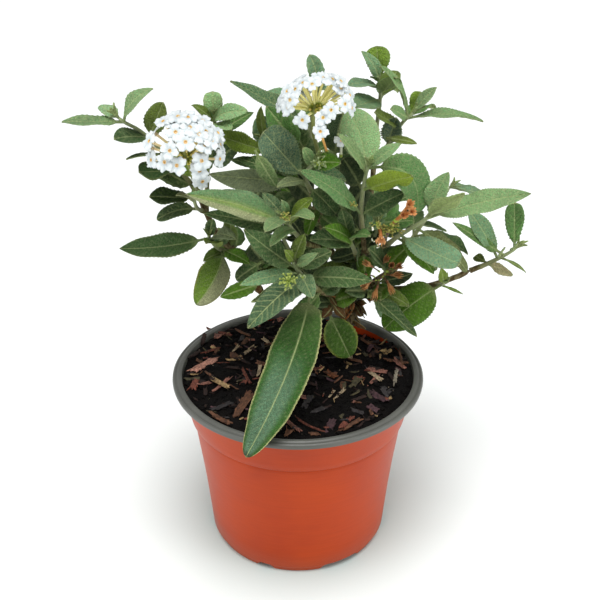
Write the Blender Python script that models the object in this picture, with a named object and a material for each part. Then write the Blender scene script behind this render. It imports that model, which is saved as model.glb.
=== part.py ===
# A potted butterfly bush: a nursery pot of soil, a woody framework, leafy shoots and white flower heads.
# Sizes are in millimetres here and become metres where a mesh is made. +Z is up, and the pot's axis is
# x = y = 0 until the last step, which moves the whole plant so that its box stands on the origin.
import math
import random

import bmesh
import bpy
from mathutils import Matrix, Vector
from mathutils.bvhtree import BVHTree

MM = 0.001
MERGE = 0.002                 # points nearer than this are one point
GAP = 0.3                     # clearance between two pieces that rest on each other

# Pot
LIP_RADIUS = 70.0
LIP_INNER_RADIUS = 64.7
LIP_BOTTOM = 101.0
NECK_RADIUS = 64.4
NECK_HEIGHT = 95.5            # where the upper wall ends and the flare to the lip begins
POT_HEIGHT = 104.7
FOOT_RADIUS = 48.7
FOOT_HEIGHT = 5.0
SHOULDER_HEIGHT = 79.5
SHOULDER_RADIUS = 59.3
POT_WALL = 1.5
POT_SIDES = 32
NOTCH_TURNS = (-112.0, -60.5, -0.5, 59.5, 119.5, 179.5)   # where the foot is notched, -90 faces the front
NARROW_NOTCH_WIDTH = 7.0
NOTCH_WIDTH = 21.0
DRAIN_RADIUS = 4.0
DRAIN_RING = 34.0

# Soil
SOIL_HEIGHT = 102.2
SOIL_RINGS = 4
CHIP_COUNT = 7
CHIP_SEED = 8
EDGE_DROP = 0.8               # how much lower the soil lies against the wall
TRUNK_HOLE_RADIUS = 5.2
TRUNK_DEPTH = 12.0

# Bark chips: pixel across, pixel down, how far back, half length, half width, turn and tilt in degrees.
CHIPS = (
    (203, 340, 40, 6.0, 2.2, 60, 20),
    (203, 368, -2, 9.0, 3.2, 20, 8),
    (221, 388, -24, 6.5, 2.6, -30, -8),
    (247, 410, -44, 7.0, 2.0, -35, 5),
    (222, 352, 18, 4.5, 2.2, 70, -12),
    (182, 372, 2, 5.0, 1.2, 10, 6),
    (376, 370, 4, 7.0, 2.6, 5, 6),
    (396, 368, 8, 4.0, 2.2, 30, -8),
    (376, 379, -8, 4.0, 2.4, 60, 8),
    (397, 382, -14, 4.0, 2.0, 75, 0),
    (336, 398, -32, 5.0, 2.4, 15, -10),
    (332, 427, -56, 4.0, 2.2, 25, 8),
    (351, 424, -52, 7.0, 2.0, 15, 0),
    (377, 399, -28, 4.5, 3.0, 40, 10),
    (371, 413, -44, 5.0, 2.6, -20, -6),
    (380, 346, 32, 4.5, 1.2, -15, 10),
)

# Leaves
BLADE_THICKNESS = 0.75
STALK_THICKNESS = 1.5
STALK_WIDTH = 1.5
FULLNESS = 1.10               # a blade of few straight steps is this much wider, to keep its area
STALK_SHARE = 0.13            # the share of a leaf's length that is its stalk
STEP_LENGTH = 15.0            # a blade gets one more step for each such length
CLEAR_START = 3.0             # no leaf grows nearer than this to the start of its stem
TOOTH = 0.04                  # how far the cut edge swings about the leaf's outline
WAVE = 0.10                   # how far the edge waves up and down, as a share of the half width
FORMS = {"lance": (0.75, 1.05), "oval": (0.7, 0.75), "spoon": (1.15, 0.5)}
CLEARANCE = 0.45              # room kept round a blade when it is settled among the others
CHIP_HEIGHT = 1.5             # leaves also keep this far above the soil, where the chips lie
GUARD_DEPTH = 20.0
HEAD_ROOM = 3.2               # leaves keep this far outside a flower head's ball of florets

# Florets
LOBE_REACH = 3.5
NOTCH_REACH = 1.7
LOBE_HALF_ANGLE = 27.0
PETAL_THICKNESS = 0.7
TUBE_RADIUS = 0.75
FACE_VIEW = 0.6               # how far the near florets turn towards the view

# The photograph's view, from which the places of leaves are read: the viewpoint, how far the view tips
# down, and how many pixels one unit of slope takes up in a picture whose centre is at (300, 300).
VIEW_POINT = Vector((1.2, -504.1, 430.4))
VIEW_TIP = math.radians(29.17)
VIEW_PIXELS = 1069.3
VIEW_CENTRE = 300.0


def seen(across, down, back):
    """The point that the view shows at a pixel, as far back as stated from the pot's axis."""
    right = (across - VIEW_CENTRE) / VIEW_PIXELS
    up = (VIEW_CENTRE - down) / VIEW_PIXELS
    ray = Vector((right,
                  math.cos(VIEW_TIP) + up * math.sin(VIEW_TIP),
                  up * math.cos(VIEW_TIP) - math.sin(VIEW_TIP)))
    return VIEW_POINT + ray * ((back - VIEW_POINT.y) / ray.y)


def pixel(point):
    """Where the view shows a point."""
    offset = point - VIEW_POINT
    depth = offset.y * math.cos(VIEW_TIP) - offset.z * math.sin(VIEW_TIP)
    up = offset.y * math.sin(VIEW_TIP) + offset.z * math.cos(VIEW_TIP)
    return Vector((VIEW_CENTRE + VIEW_PIXELS * offset.x / depth, VIEW_CENTRE - VIEW_PIXELS * up / depth))


# Where the branches run. Each point is a pixel across, a pixel down and how far back it lies.
FORK = Vector((33, 34, 128))
TRUNK = [Vector((20, 34, SOIL_HEIGHT - TRUNK_DEPTH + 1)), Vector((21, 34, SOIL_HEIGHT)),
         Vector((24, 34, 108)), Vector((29, 34, 116)), FORK]
TRUNK_RADII = (4.2, 3.2)
BRANCHES = {
    "right": ((366, 287, 32), (390, 290, 28), (430, 285.5, 24), (454, 277.6, 22), (470, 270.5, 20)),
    "crown": ((347, 282, 33), (331, 250, 28), (319, 218, 22), (314, 200, 17)),
    "left": ((332, 285, 36), (300, 274, 36), (262, 263, 32), (234, 250, 26), (216, 232, 20), (206, 212, 16),
             (199, 196, 13)),
    "tall": ((361, 272, 28), (364, 252, 20), (363, 238, 14)),
    "front": ((346, 298, 24), (334, 296, 16), (324, 293, 10)),
    "upper": ((360, 268, 42), (368, 215, 46), (374, 165, 43)),
    "back": ((348, 270, 50), (338, 235, 54), (328, 200, 54)),
}
BRANCH_RADII = (2.3, 1.4)
STUB_RADIUS = 1.5
HEAD_STUB_RADII = (1.4, 1.3)


def leaf(base, tip, wide, form, up, arch=0.06, sway=0.0, fold=18.0):
    """One leaf: its foot's pixel, its tip's pixel and depth, its width, and where its upper side faces."""
    return {"base": base, "tip": tip, "wide": wide, "form": form, "up": Vector(up),
            "arch": arch, "sway": sway, "fold": fold}


# Every shoot: the stub of branch that carries it, its own stem, and its leaves.
SHOOTS = {
    "shoot_far_left": {
        "stub": ((199, 196, 13), (193, 187, 10)),
        "stem": ((190, 182, 8), (168, 158, 6), (143, 133, 0), (124, 122, -3), (117, 116, -4)),
        "radii": (1.3, 0.8),
        "leaves": (
            leaf((119, 129), (61.6, 121, -10), 8.5, "lance", (0, -0.3, 1), 0.03, 0, 20),
            leaf((118, 121), (99, 104.6, 4), 8, "oval", (0.3, -0.6, 0.8)),
            leaf((124, 122), (153, 88.3, -6), 7, "lance", (-0.7, -0.5, 0.5), 0.16),
            leaf((146, 138), (115, 136, -12), 9, "oval", (0, -0.5, 0.9)),
            leaf((150, 140), (166, 102.7, 2), 10, "oval", (-0.3, -0.9, 0.3), 0.1),
            leaf((166, 156), (120, 158.6, -6), 7, "lance", (0, 0.1, 1)),
            leaf((180, 172), (139, 177, -4), 8, "oval", (0, -0.4, 0.9)),
        ),
    },
    "shoot_left_top": {
        "stub": ((206, 212, 16), (207, 196, 20)),
        "stem": ((207, 188, 21), (208, 165, 22), (213, 135, 20), (215, 120, 18), (214, 113, 17)),
        "radii": (1.3, 0.8),
        "leaves": (
            leaf((214, 118), (212.4, 91.2, 18), 10, "spoon", (0, -0.9, 0.4)),
            leaf((213, 122), (191.9, 105, 8), 6, "lance", (0.2, -0.6, 0.8)),
            leaf((215, 120), (241, 104.6, 12), 7, "lance", (-0.2, -0.6, 0.8)),
            leaf((215, 122), (247.8, 111.3, 4), 8, "oval", (0, -0.7, 0.7)),
            leaf((214, 125), (231.5, 129.5, 2), 7, "oval", (0, -0.6, 0.8)),
            leaf((212, 138), (253.5, 112.3, 26), 7, "lance", (0, -0.6, 0.8)),
            leaf((209, 160), (226, 138, 30), 8, "oval", (0, -0.4, 0.9)),
        ),
    },
    "shoot_left_middle": {
        "stub": ((206, 212, 16), (203, 211, 12)),
        "stem": ((201, 210.5, 10), (197, 208, 5), (195, 203, 1), (194, 198, -1)),
        "radii": (1.2, 0.8),
        "leaves": (
            leaf((197, 208), (156.8, 212.7, 2), 9, "oval", (0, -0.5, 0.8), 0.05, 0.03),
            leaf((194, 199), (149.2, 202, -6), 9, "oval", (0, -0.4, 0.9), 0.1),
            leaf((195, 203), (176, 195, -10), 5, "lance", (0, -0.3, 1), 0.1),
        ),
    },
    "shoot_low_left": {
        "stub": ((234, 250, 26), (229, 252, 22)),
        "stem": ((226, 252, 20), (218, 248, 14), (212, 242, 9), (209, 236, 6)),
        "radii": (1.3, 0.8),
        "leaves": (
            leaf((210, 240), (119.4, 248.5, -2), 11, "lance", (0, -0.75, 0.66), 0.03, -0.03, 25),
            leaf((209, 237), (213, 219, 6), 6, "oval", (-0.2, -0.8, 0.5)),
            leaf((218, 247), (195, 305, -12), 14, "spoon", (0.25, -0.85, 0.45), 0.05, 0.05, -30),
            leaf((219, 248), (206, 243, -14), 8, "oval", (0, -0.6, 0.8)),
            leaf((222, 250), (247, 262, 0), 9, "oval", (0, -0.5, 0.8)),
            leaf((213, 243), (236, 239, -8), 8, "oval", (0, -0.5, 0.8)),
        ),
    },
    "shoot_crown": {
        "stub": ((314, 200, 17), (312, 194, 15)),
        "stem": ((311, 191, 14), (307, 183, 9), (305, 175, 4), (311, 166, 0), (315, 160, -1)),
        "radii": (1.5, 0.9),
        "leaves": (
            leaf((306, 178), (264, 132.5, -8), 19, "oval", (0.2, -0.85, 0.5), 0.05, 0, 16),
            leaf((307, 183), (252, 156, -2), 9, "lance", (0, -0.6, 0.8)),
            leaf((300, 182), (209, 174, -8), 12, "lance", (0, 0.95, 0.2), 0.03, 0.03, -15),
            leaf((307, 182), (277, 187, -16), 6, "oval", (0, -0.5, 0.8)),
            leaf((309, 187), (236, 158, 16), 9, "lance", (0, -0.5, 0.8)),
            leaf((310, 166), (341, 163, -8), 9, "oval", (0, -0.6, 0.8), 0.1),
            leaf((312, 165), (303, 148, -6), 6, "oval", (0.2, -0.8, 0.6)),
            leaf((306, 176), (346, 181, 2), 10, "oval", (0, -0.5, 0.8), 0.1),
            leaf((310, 188), (336, 214, 4), 12, "oval", (0, -0.7, 0.7), 0.1),
        ),
    },
    "shoot_middle_back": {
        "stub": ((319, 218, 22), (304, 203, 28)),
        "stem": ((300, 199, 30), (285, 172, 32), (270, 150, 28), (264, 138, 26)),
        "radii": (1.3, 0.8),
        "leaves": (
            leaf((271, 152), (212.4, 133.3, 2), 7, "lance", (0, -0.4, 0.9), 0.05),
            leaf((266, 142), (261, 106.5, 20), 6, "lance", (-0.5, -0.8, 0.3)),
            leaf((268, 148), (259, 116, 32), 13, "oval", (0.3, -0.8, 0.5)),
            leaf((270, 148), (284, 120, 34), 9, "oval", (0, -0.8, 0.5)),
            leaf((284, 170), (250, 168, 40), 10, "oval", (0, -0.3, 1)),
        ),
    },
    "shoot_top": {
        "stub": ((328, 200, 54), (322, 186, 53)),
        "stem": ((320, 181, 52), (312, 150, 46), (310, 120, 42), (316, 96, 40), (319, 84, 39)),
        "radii": (1.5, 0.8),
        "leaves": (
            leaf((310, 128), (230.2, 81.3, 26), 9, "lance", (0, -0.5, 0.85), 0.05, -0.03),
            leaf((312, 108), (263, 88.7, 44), 9, "lance", (0, -0.4, 0.9)),
            leaf((319, 85), (304.3, 54.5, 38), 10, "oval", (0.2, -0.9, 0.4), 0.1, 0.1),
            leaf((318, 88), (345, 68, 46), 9, "oval", (-0.2, -0.6, 0.7), 0.1),
            leaf((311, 116), (344, 112, 60), 10, "lance", (0, 0.3, 0.9), 0.1),
            leaf((310, 126), (290, 110, 76), 10, "lance", (0, 0.3, 0.9), 0.1),
            leaf((313, 152), (346, 146, 62), 11, "lance", (0, 0.2, 0.9), 0.12),
            leaf((318, 174), (342, 203, 40), 13, "oval", (0, -0.7, 0.7), 0.1),
            leaf((316, 168), (340, 176, 34), 12, "oval", (0, -0.7, 0.7), 0.1),
        ),
    },
    "shoot_top_right": {
        "stub": ((374, 165, 43), (374.5, 156, 42)),
        "stem": ((375, 152, 41), (377, 125, 42), (380, 102, 41), (380, 88, 39), (378, 80, 38)),
        "radii": (1.4, 0.8),
        "leaves": (
            leaf((378, 82), (376.7, 45.9, 38), 12, "spoon", (0, -0.9, 0.4), 0.05),
            leaf((378, 81), (361.7, 50.7, 34), 7, "lance", (0.5, -0.8, 0.4)),
            leaf((379, 87), (346, 83, 26), 7, "lance", (0, -0.3, 0.9), 0.08),
            leaf((380, 92), (396, 77, 22), 11, "oval", (-0.2, 0.95, 0.1), 0.0, 0, 10),
            leaf((380, 104), (379.5, 67, 20), 8, "lance", (0.8, -0.3, 0.6), 0.2, 0.1),
            leaf((380, 92), (399, 70, 50), 10, "oval", (-0.4, -0.7, 0.5)),
            leaf((379, 108), (353, 103, 18), 9, "lance", (0, -0.5, 0.8), 0.06),
            leaf((380, 100), (398, 92, 72), 11, "lance", (0, 0.4, 0.9), 0.12),
        ),
    },
    "shoot_far_right_top": {
        "stub": ((374, 165, 43), (381, 156, 38)),
        "stem": ((384, 152, 36), (393, 136, 31), (403, 122, 27), (411, 115, 25), (415, 111, 25)),
        "radii": (1.3, 0.8),
        "leaves": (
            leaf((410, 117), (483.6, 121.2, 18), 10, "lance", (0, -0.05, 1), 0.12, 0, 22),
            leaf((414, 112), (418, 93, 28), 7, "oval", (0, -0.9, 0.4)),
            leaf((414, 112), (436.6, 87.1, 24), 8, "lance", (-0.5, -0.6, 0.6)),
            leaf((408, 118), (390, 101, 14), 8, "oval", (0.3, -0.7, 0.6)),
            leaf((401, 125), (374, 118, 16), 8, "oval", (0, -0.6, 0.8)),
            leaf((396, 132), (376, 140, 14), 8, "oval", (0, -0.6, 0.8)),
            leaf((403, 123), (436, 108, 54), 10, "lance", (0, 0.2, 0.9), 0.1),
        ),
    },
    "shoot_tall": {
        "stub": ((363, 238, 14), (362, 231, 11)),
        "stem": ((362, 227, 10), (361, 210, 6), (363, 190, 2), (366, 174, 0), (369, 165, -1)),
        "radii": (1.5, 0.9),
        "leaves": (
            leaf((367, 171), (349, 108.5, 6), 18, "oval", (0, -0.9, 0.4), 0.06, 0.05, 14),
            leaf((365, 174), (337.7, 133.6, -10), 8, "lance", (0.6, -0.5, 0.6)),
            leaf((368, 168), (401, 143.5, -6), 7, "lance", (-0.3, -0.6, 0.7)),
            leaf((363, 189), (412.6, 175.6, -20), 14, "oval", (-0.1, 0.95, 0.3), 0.0, 0.03, 10),
            leaf((368, 168), (418, 213, -4), 17, "oval", (0.5, -0.75, 0.45), 0.22, -0.3, 14),
            leaf((361, 216), (404, 192.8, 0), 11, "oval", (-0.1, -0.75, 0.6), 0.06),
            leaf((361, 214), (299, 170, -18), 10, "lance", (0.2, -0.7, 0.7), 0.08),
        ),
    },
    "shoot_right": {
        "stub": ((364, 252, 20), (384, 246, 12)),
        "stem": ((388, 244, 10), (400, 235, 3), (415, 226, -1), (426, 219, -3), (431, 214, -4)),
        "radii": (1.5, 0.8),
        "leaves": (
            leaf((430, 214), (449, 172.3, 0), 11, "lance", (-0.5, -0.75, 0.45), 0.06),
            leaf((428, 218), (464.8, 193, -20), 12, "lance", (-0.3, 0.95, 0.2), 0.0, 0.04, 10),
            leaf((427, 219), (531.3, 193, -6), 11, "lance", (0, -0.7, 0.75), 0.03, -0.02, 18),
            leaf((429, 216), (433, 188, 10), 6, "lance", (0.2, -0.8, 0.5)),
            leaf((402, 235), (460, 262, -26), 13, "lance", (0.1, -0.7, 0.7), 0.06, 0.05),
            leaf((416, 226), (467, 270.4, 4), 13, "oval", (0.3, -0.6, 0.7), 0.06, 0.06),
            leaf((400, 236), (433, 269.6, -6), 8, "lance", (0, -0.5, 0.85), 0.06),
        ),
    },
    "shoot_low_right": {
        "stub": ((470, 270.5, 20), (478, 267.5, 19)),
        "stem": ((481, 266.5, 18.5), (492, 261.5, 18), (503, 256, 17), (512, 251, 16), (517, 247, 16)),
        "radii": (1.4, 0.8),
        "leaves": (
            leaf((516, 248), (520, 202.6, 12), 11, "oval", (-0.1, -0.9, 0.4), 0.05),
            leaf((500, 257), (482, 213.8, 22), 9, "lance", (0.3, -0.8, 0.5)),
            leaf((505, 255), (452.8, 222.5, 18), 7, "lance", (0, -0.5, 0.8), 0.05),
            leaf((488, 263), (512.6, 272, 6), 8, "oval", (0, 0.95, 0.2), 0.0, 0, 10),
            leaf((489, 263), (472, 256, 28), 6, "oval", (0, -0.4, 0.9)),
        ),
    },
    "spur_right": {
        "stub": ((430, 285.5, 24), (437, 285, 19)),
        "stem": ((439, 285, 17), (442, 284.5, 14), (444, 282, 12)),
        "radii": (1.2, 0.9),
        "leaves": (
            leaf((442, 285), (383.5, 325.4, 2), 17, "oval", (0, -0.8, 0.6), 0.05, 0.06, -12),
            leaf((443, 283), (441, 268, 6), 5, "lance", (0, -0.8, 0.6)),
        ),
    },
    "spur_low_right": {
        "stub": ((366, 287, 32), (366, 289, 22)),
        "stem": ((366, 289.5, 20), (366, 290, 16), (368, 292, 12)),
        "radii": (1.2, 0.9),
        "leaves": (
            leaf((367, 291), (417, 336.5, -12), 10, "lance", (0.5, -0.6, 0.6), 0.03, 0.03, 30),
        ),
    },
    "shoot_front": {
        "stub": ((324, 293, 10), (318, 290, 5)),
        "stem": ((315, 288, 3), (307, 281, -5), (299, 272, -12), (294, 264, -15), (292, 258, -16)),
        "radii": (1.7, 0.9),
        "leaves": (
            leaf((297, 269), (243.7, 229.4, -20), 12, "lance", (0.25, -0.75, 0.6), 0.05, -0.03),
            leaf((300, 273), (239.7, 285.2, -28), 8, "lance", (0, -0.6, 0.8), 0.08),
            leaf((303, 276), (251, 302, -40), 9, "lance", (0, 0.9, 0.1), 0.0, 0, 10),
            leaf((308, 282), (247.7, 328.3, -50), 13, "oval", (-0.1, -0.75, 0.65), 0.1),
            leaf((311, 286), (245.7, 457.3, -76), 21, "lance", (-0.1, -0.72, 0.7), 0.1, -0.03, 16),
            leaf((301, 273), (312.5, 298, -34), 9, "oval", (0, -0.8, 0.6), 0.1),
            leaf((304, 277), (372.4, 280.8, -24), 11, "lance", (0, -0.75, 0.7), 0.08),
            leaf((297, 268), (331.6, 251.4, -14), 9, "oval", (0, -0.7, 0.7)),
            leaf((296, 266), (317.6, 253, -24), 5, "lance", (0, -0.8, 0.6)),
            leaf((294, 262), (304.8, 233.6, -14), 7, "lance", (-0.3, -0.85, 0.4)),
            leaf((293, 261), (284.5, 250, -24), 5, "lance", (0.3, -0.8, 0.5)),
        ),
    },
    "spur_low_front": {
        "stub": ((346, 298, 24), (338, 306, 18)),
        "stem": ((335, 308, 16), (330, 311, 13), (326, 313, 10)),
        "radii": (1.2, 0.9),
        "leaves": (
            leaf((328, 312), (352, 356, 6), 14, "spoon", (0, -0.85, 0.5), 0.05),
        ),
    },
    "shoot_rosette": {
        "stub": ((331, 250, 28), (308, 244, 8)),
        "stem": ((304, 242, 5), (296, 234, 0), (289, 225, -5), (286, 218, -8)),
        "radii": (1.4, 0.9),
        "leaves": (
            leaf((288, 223), (185.5, 195, -34), 12, "lance", (0.15, -0.8, 0.55), 0.04, 0.03, 14),
            leaf((287, 221), (223, 189.6, -12), 10, "lance", (0.2, -0.5, 0.8), 0.05),
            leaf((288, 224), (313.5, 219, -34), 9, "oval", (0, -0.4, 0.9), 0.1),
            leaf((287, 222), (265, 231.5, -34), 8, "oval", (0, -0.4, 0.9), 0.1),
            leaf((289, 225), (262.5, 193, -2), 7, "oval", (0, -0.6, 0.7), 0.1),
            leaf((290, 226), (313, 198, -6), 7, "oval", (0, -0.4, 0.9), 0.12),
            leaf((286, 219), (281.7, 200, -18), 5, "lance", (0.4, -0.8, 0.5)),
            leaf((295, 233), (203.8, 213.5, -4), 10, "lance", (0, -0.6, 0.8), 0.05),
            leaf((296, 234), (270, 246, -20), 7, "oval", (0, -0.4, 0.9), 0.1),
        ),
    },
    "shoot_inner": {
        "stub": ((360, 268, 42), (366, 262, 34)),
        "stem": ((367, 258, 30), (372, 246, 24), (376, 232, 20), (378, 222, 18)),
        "radii": (1.3, 0.8),
        "leaves": (
            leaf((371, 250), (398, 268, 10), 14, "oval", (0, -0.6, 0.8), 0.1),
            leaf((370, 252), (343, 262, 14), 13, "oval", (0, -0.6, 0.8), 0.1),
            leaf((376, 234), (402, 222, 22), 14, "oval", (0, -0.6, 0.8), 0.1),
            leaf((375, 236), (346, 224, 26), 14, "oval", (0, -0.6, 0.8), 0.1),
            leaf((378, 223), (394, 200, 30), 11, "oval", (0, -0.7, 0.7), 0.1),
            leaf((378, 223), (352, 192, 34), 14, "oval", (0, -0.7, 0.7), 0.1),
        ),
    },
    "shoot_inner_left": {
        "stub": ((300, 274, 36), (296, 266, 30)),
        "stem": ((295, 262, 28), (288, 248, 24), (280, 232, 20), (272, 218, 18)),
        "radii": (1.3, 0.8),
        "leaves": (
            leaf((291, 254), (262, 262, 12), 11, "oval", (0, -0.6, 0.8), 0.1),
            leaf((290, 252), (320, 246, 16), 14, "oval", (0, -0.6, 0.8), 0.1),
            leaf((279, 230), (246, 226, 20), 11, "oval", (0, -0.6, 0.8), 0.1),
            leaf((280, 232), (312, 220, 24), 14, "oval", (0, -0.6, 0.8), 0.1),
            leaf((273, 219), (240, 200, 26), 11, "oval", (0, -0.7, 0.7), 0.1),
            leaf((273, 219), (296, 196, 30), 14, "oval", (0, -0.7, 0.7), 0.1),
        ),
    },
    "shoot_middle": {
        "stub": ((361, 272, 28), (356, 256, 16)),
        "stem": ((355, 252, 13), (352, 245, 8), (349, 238, 5)),
        "radii": (1.3, 0.9),
        "leaves": (
            leaf((352, 244), (323.6, 227.2, -14), 9, "lance", (0, -0.7, 0.7), 0.1),
            leaf((350, 240), (341.5, 209, 0), 8, "oval", (0, -0.9, 0.4)),
            leaf((353, 247), (310, 240, -6), 11, "oval", (0, -0.5, 0.8), 0.1),
            leaf((351, 242), (370, 236, -16), 7, "oval", (0, -0.6, 0.8), 0.1),
        ),
    },
}

# Dry curled leaves round the trunk and spent flowers, each on its own short dry stalk.
DRY = {
    "dry_leaves": {
        "stub": ((346, 298, 24), (343, 301, 20)),
        "stem": ((341, 303, 17), (336, 303, 13), (331, 302, 10)),
        "radii": (1.1, 0.8),
        "leaves": (
            leaf((334, 303), (322, 318, 10), 9, "oval", (0.5, -0.6, 0.6), 0.25, 0, -45),
            leaf((333, 303), (345, 318, 6), 8, "oval", (-0.5, -0.6, 0.6), 0.25, 0, -45),
        ),
    },
    "dry_leaves_left": {
        "stub": ((262, 263, 32), (258, 268, 26)),
        "stem": ((256, 271, 22), (253, 276, 17), (251, 282, 13)),
        "radii": (1.1, 0.7),
        "leaves": (
            leaf((253, 277), (263, 297, 10), 7, "lance", (0.5, -0.6, 0.6), 0.2, 0, -45),
            leaf((252, 279), (243, 292, 6), 7, "oval", (-0.5, -0.6, 0.6), 0.2, 0, -45),
        ),
    },
    "spent_flowers": {
        "stub": ((384, 246, 12), (385, 240, 5)),
        "stem": ((386, 237, 2), (390, 229, -4), (397, 221, -9), (404, 214, -13)),
        "radii": (0.9, 0.7),
        "leaves": (
            leaf((401, 217), (411, 209, -17), 5, "spoon", (0, -0.7, 0.7), 0.1, 0, -50),
            leaf((401, 217), (403, 205, -10), 5, "spoon", (0.4, -0.7, 0.7), 0.1, 0, -50),
            leaf((390, 229), (380, 239, -12), 5, "spoon", (0, -0.7, 0.7), 0.1, 0, -50),
            leaf((390, 229), (399, 245, -8), 4, "spoon", (0, -0.7, 0.7), 0.1, 0, -50),
        ),
    },
    "dry_cluster": {
        "stub": ((366, 287, 32), (374, 283, 24)),
        "stem": ((377, 281, 20), (381, 277, 15), (385, 272, 11)),
        "radii": (1.0, 0.7),
        "leaves": (
            leaf((382, 276), (396, 270, 6), 5, "spoon", (0, -0.7, 0.7), 0.1, 0, -50),
            leaf((382, 276), (392, 284, 4), 5, "spoon", (0, -0.7, 0.7), 0.1, 0, -50),
            leaf((383, 275), (371, 266, 4), 5, "spoon", (0, -0.7, 0.7), 0.1, 0, -50),
        ),
    },
}

# The shoots at the back, which the photograph hides, follow a rule: each leaves the wood at a turn about
# the plant, reaches out and up, and carries leaves in opposite pairs.
BACK_SHOOTS = {
    "shoot_back_left": {"turn": 152, "start": (10, 46, 142), "reach": 62, "rise": 46, "pairs": 4},
    "shoot_back_middle": {"turn": 110, "start": (24, 56, 146), "reach": 46, "rise": 58, "pairs": 3},
    "shoot_back_right": {"turn": 63, "start": (42, 54, 142), "reach": 52, "rise": 40, "pairs": 3},
    "shoot_back_far_right": {"turn": 28, "start": (56, 42, 146), "reach": 56, "rise": 44, "pairs": 3},
    "shoot_back_low": {"turn": 92, "start": (30, 52, 128), "reach": 44, "rise": 6, "pairs": 3},
}
BACK_SEED = 11
BACK_STEM_RADII = (1.5, 0.9)
BACK_RULE = {
    "level": 0.62,              # how much of the reach the stem itself covers
    "bend": 0.8,                # below one, the stem rises early and then levels out
    "first": 0.3,               # where on the stem the lowest pair grows
    "shrink": 0.12,             # how much smaller each next pair is
    "spread": 62,               # how far the lowest pair turns away from the stem, in degrees
    "closing": 14,              # how much less each next pair does
    "stray": 8,
    "lift": (-0.25, 0.1),
    "climb": 0.22,              # how much more each next pair points up
    "length": (34, 44),
    "width": (9.5, 12.5),
    "arch": 0.12,
    "lean_back": 0.3,           # how far the upper sides face the stem
}


def ensure_out(points, triangles):
    """Turn a closed body's faces outwards."""
    volume = 0.0
    for a, b, c in triangles:
        volume += points[a].cross(points[b]).dot(points[c])
    if volume < 0:
        triangles = [(a, c, b) for a, b, c in triangles]
    return points, triangles


def smooth(points, steps):
    """A rounded line through the points, with a few steps between each two."""
    line = []
    last = len(points) - 1
    for index in range(last):
        before = points[max(index - 1, 0)]
        start = points[index]
        end = points[index + 1]
        after = points[min(index + 2, last)]
        for step in range(steps):
            t = step / steps
            line.append(0.5 * (2 * start + (end - before) * t
                               + (2 * before - 5 * start + 4 * end - after) * t * t
                               + (3 * start - before - 3 * end + after) * t ** 3))
    line.append(points[last])
    return line


def tube(line, radii, sides=7, last_way=None):
    """A tapering round bar along a line, with flat ends."""
    points = []
    count = len(line)
    way = (line[1] - line[0]).normalized()
    across = way.orthogonal().normalized()
    for index, centre in enumerate(line):
        ahead = line[min(index + 1, count - 1)]
        behind = line[max(index - 1, 0)]
        way = (ahead - behind).normalized()
        if index == count - 1 and last_way:
            way = last_way
        across = (across - way * across.dot(way)).normalized()
        other = way.cross(across)
        radius = radii[0] + (radii[1] - radii[0]) * index / (count - 1)
        for side in range(sides):
            turn = 2 * math.pi * side / sides
            points.append(centre + (across * math.cos(turn) + other * math.sin(turn)) * radius)
    triangles = []
    for index in range(count - 1):
        for side in range(sides):
            a = index * sides + side
            b = index * sides + (side + 1) % sides
            triangles.append((a, b, b + sides))
            triangles.append((a, b + sides, a + sides))
    end = (count - 1) * sides
    for side in range(1, sides - 1):
        triangles.append((0, side + 1, side))
        triangles.append((end, end + side, end + side + 1))
    return ensure_out(points, triangles)


def outline(form, t):
    """A leaf's half width at a share of its length, as a share of its greatest half width."""
    rise, fall = FORMS[form]
    peak = rise / (rise + fall)
    greatest = peak ** rise * (1 - peak) ** fall
    return t ** rise * (1 - t) ** fall / greatest


def midrib(entry):
    """The foot, the pulled middle and the tip of a leaf's curved midrib, and its upward way."""
    chord = entry["tip_at"] - entry["base_at"]
    along = chord.normalized()
    up = (entry["up"] - along * entry["up"].dot(along)).normalized()
    side = along.cross(up)
    pull = (up * entry["arch"] + side * entry["sway"]) * 2 * chord.length
    middle = (entry["base_at"] + entry["tip_at"]) / 2 + pull
    return entry["base_at"], middle, entry["tip_at"], up


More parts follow.
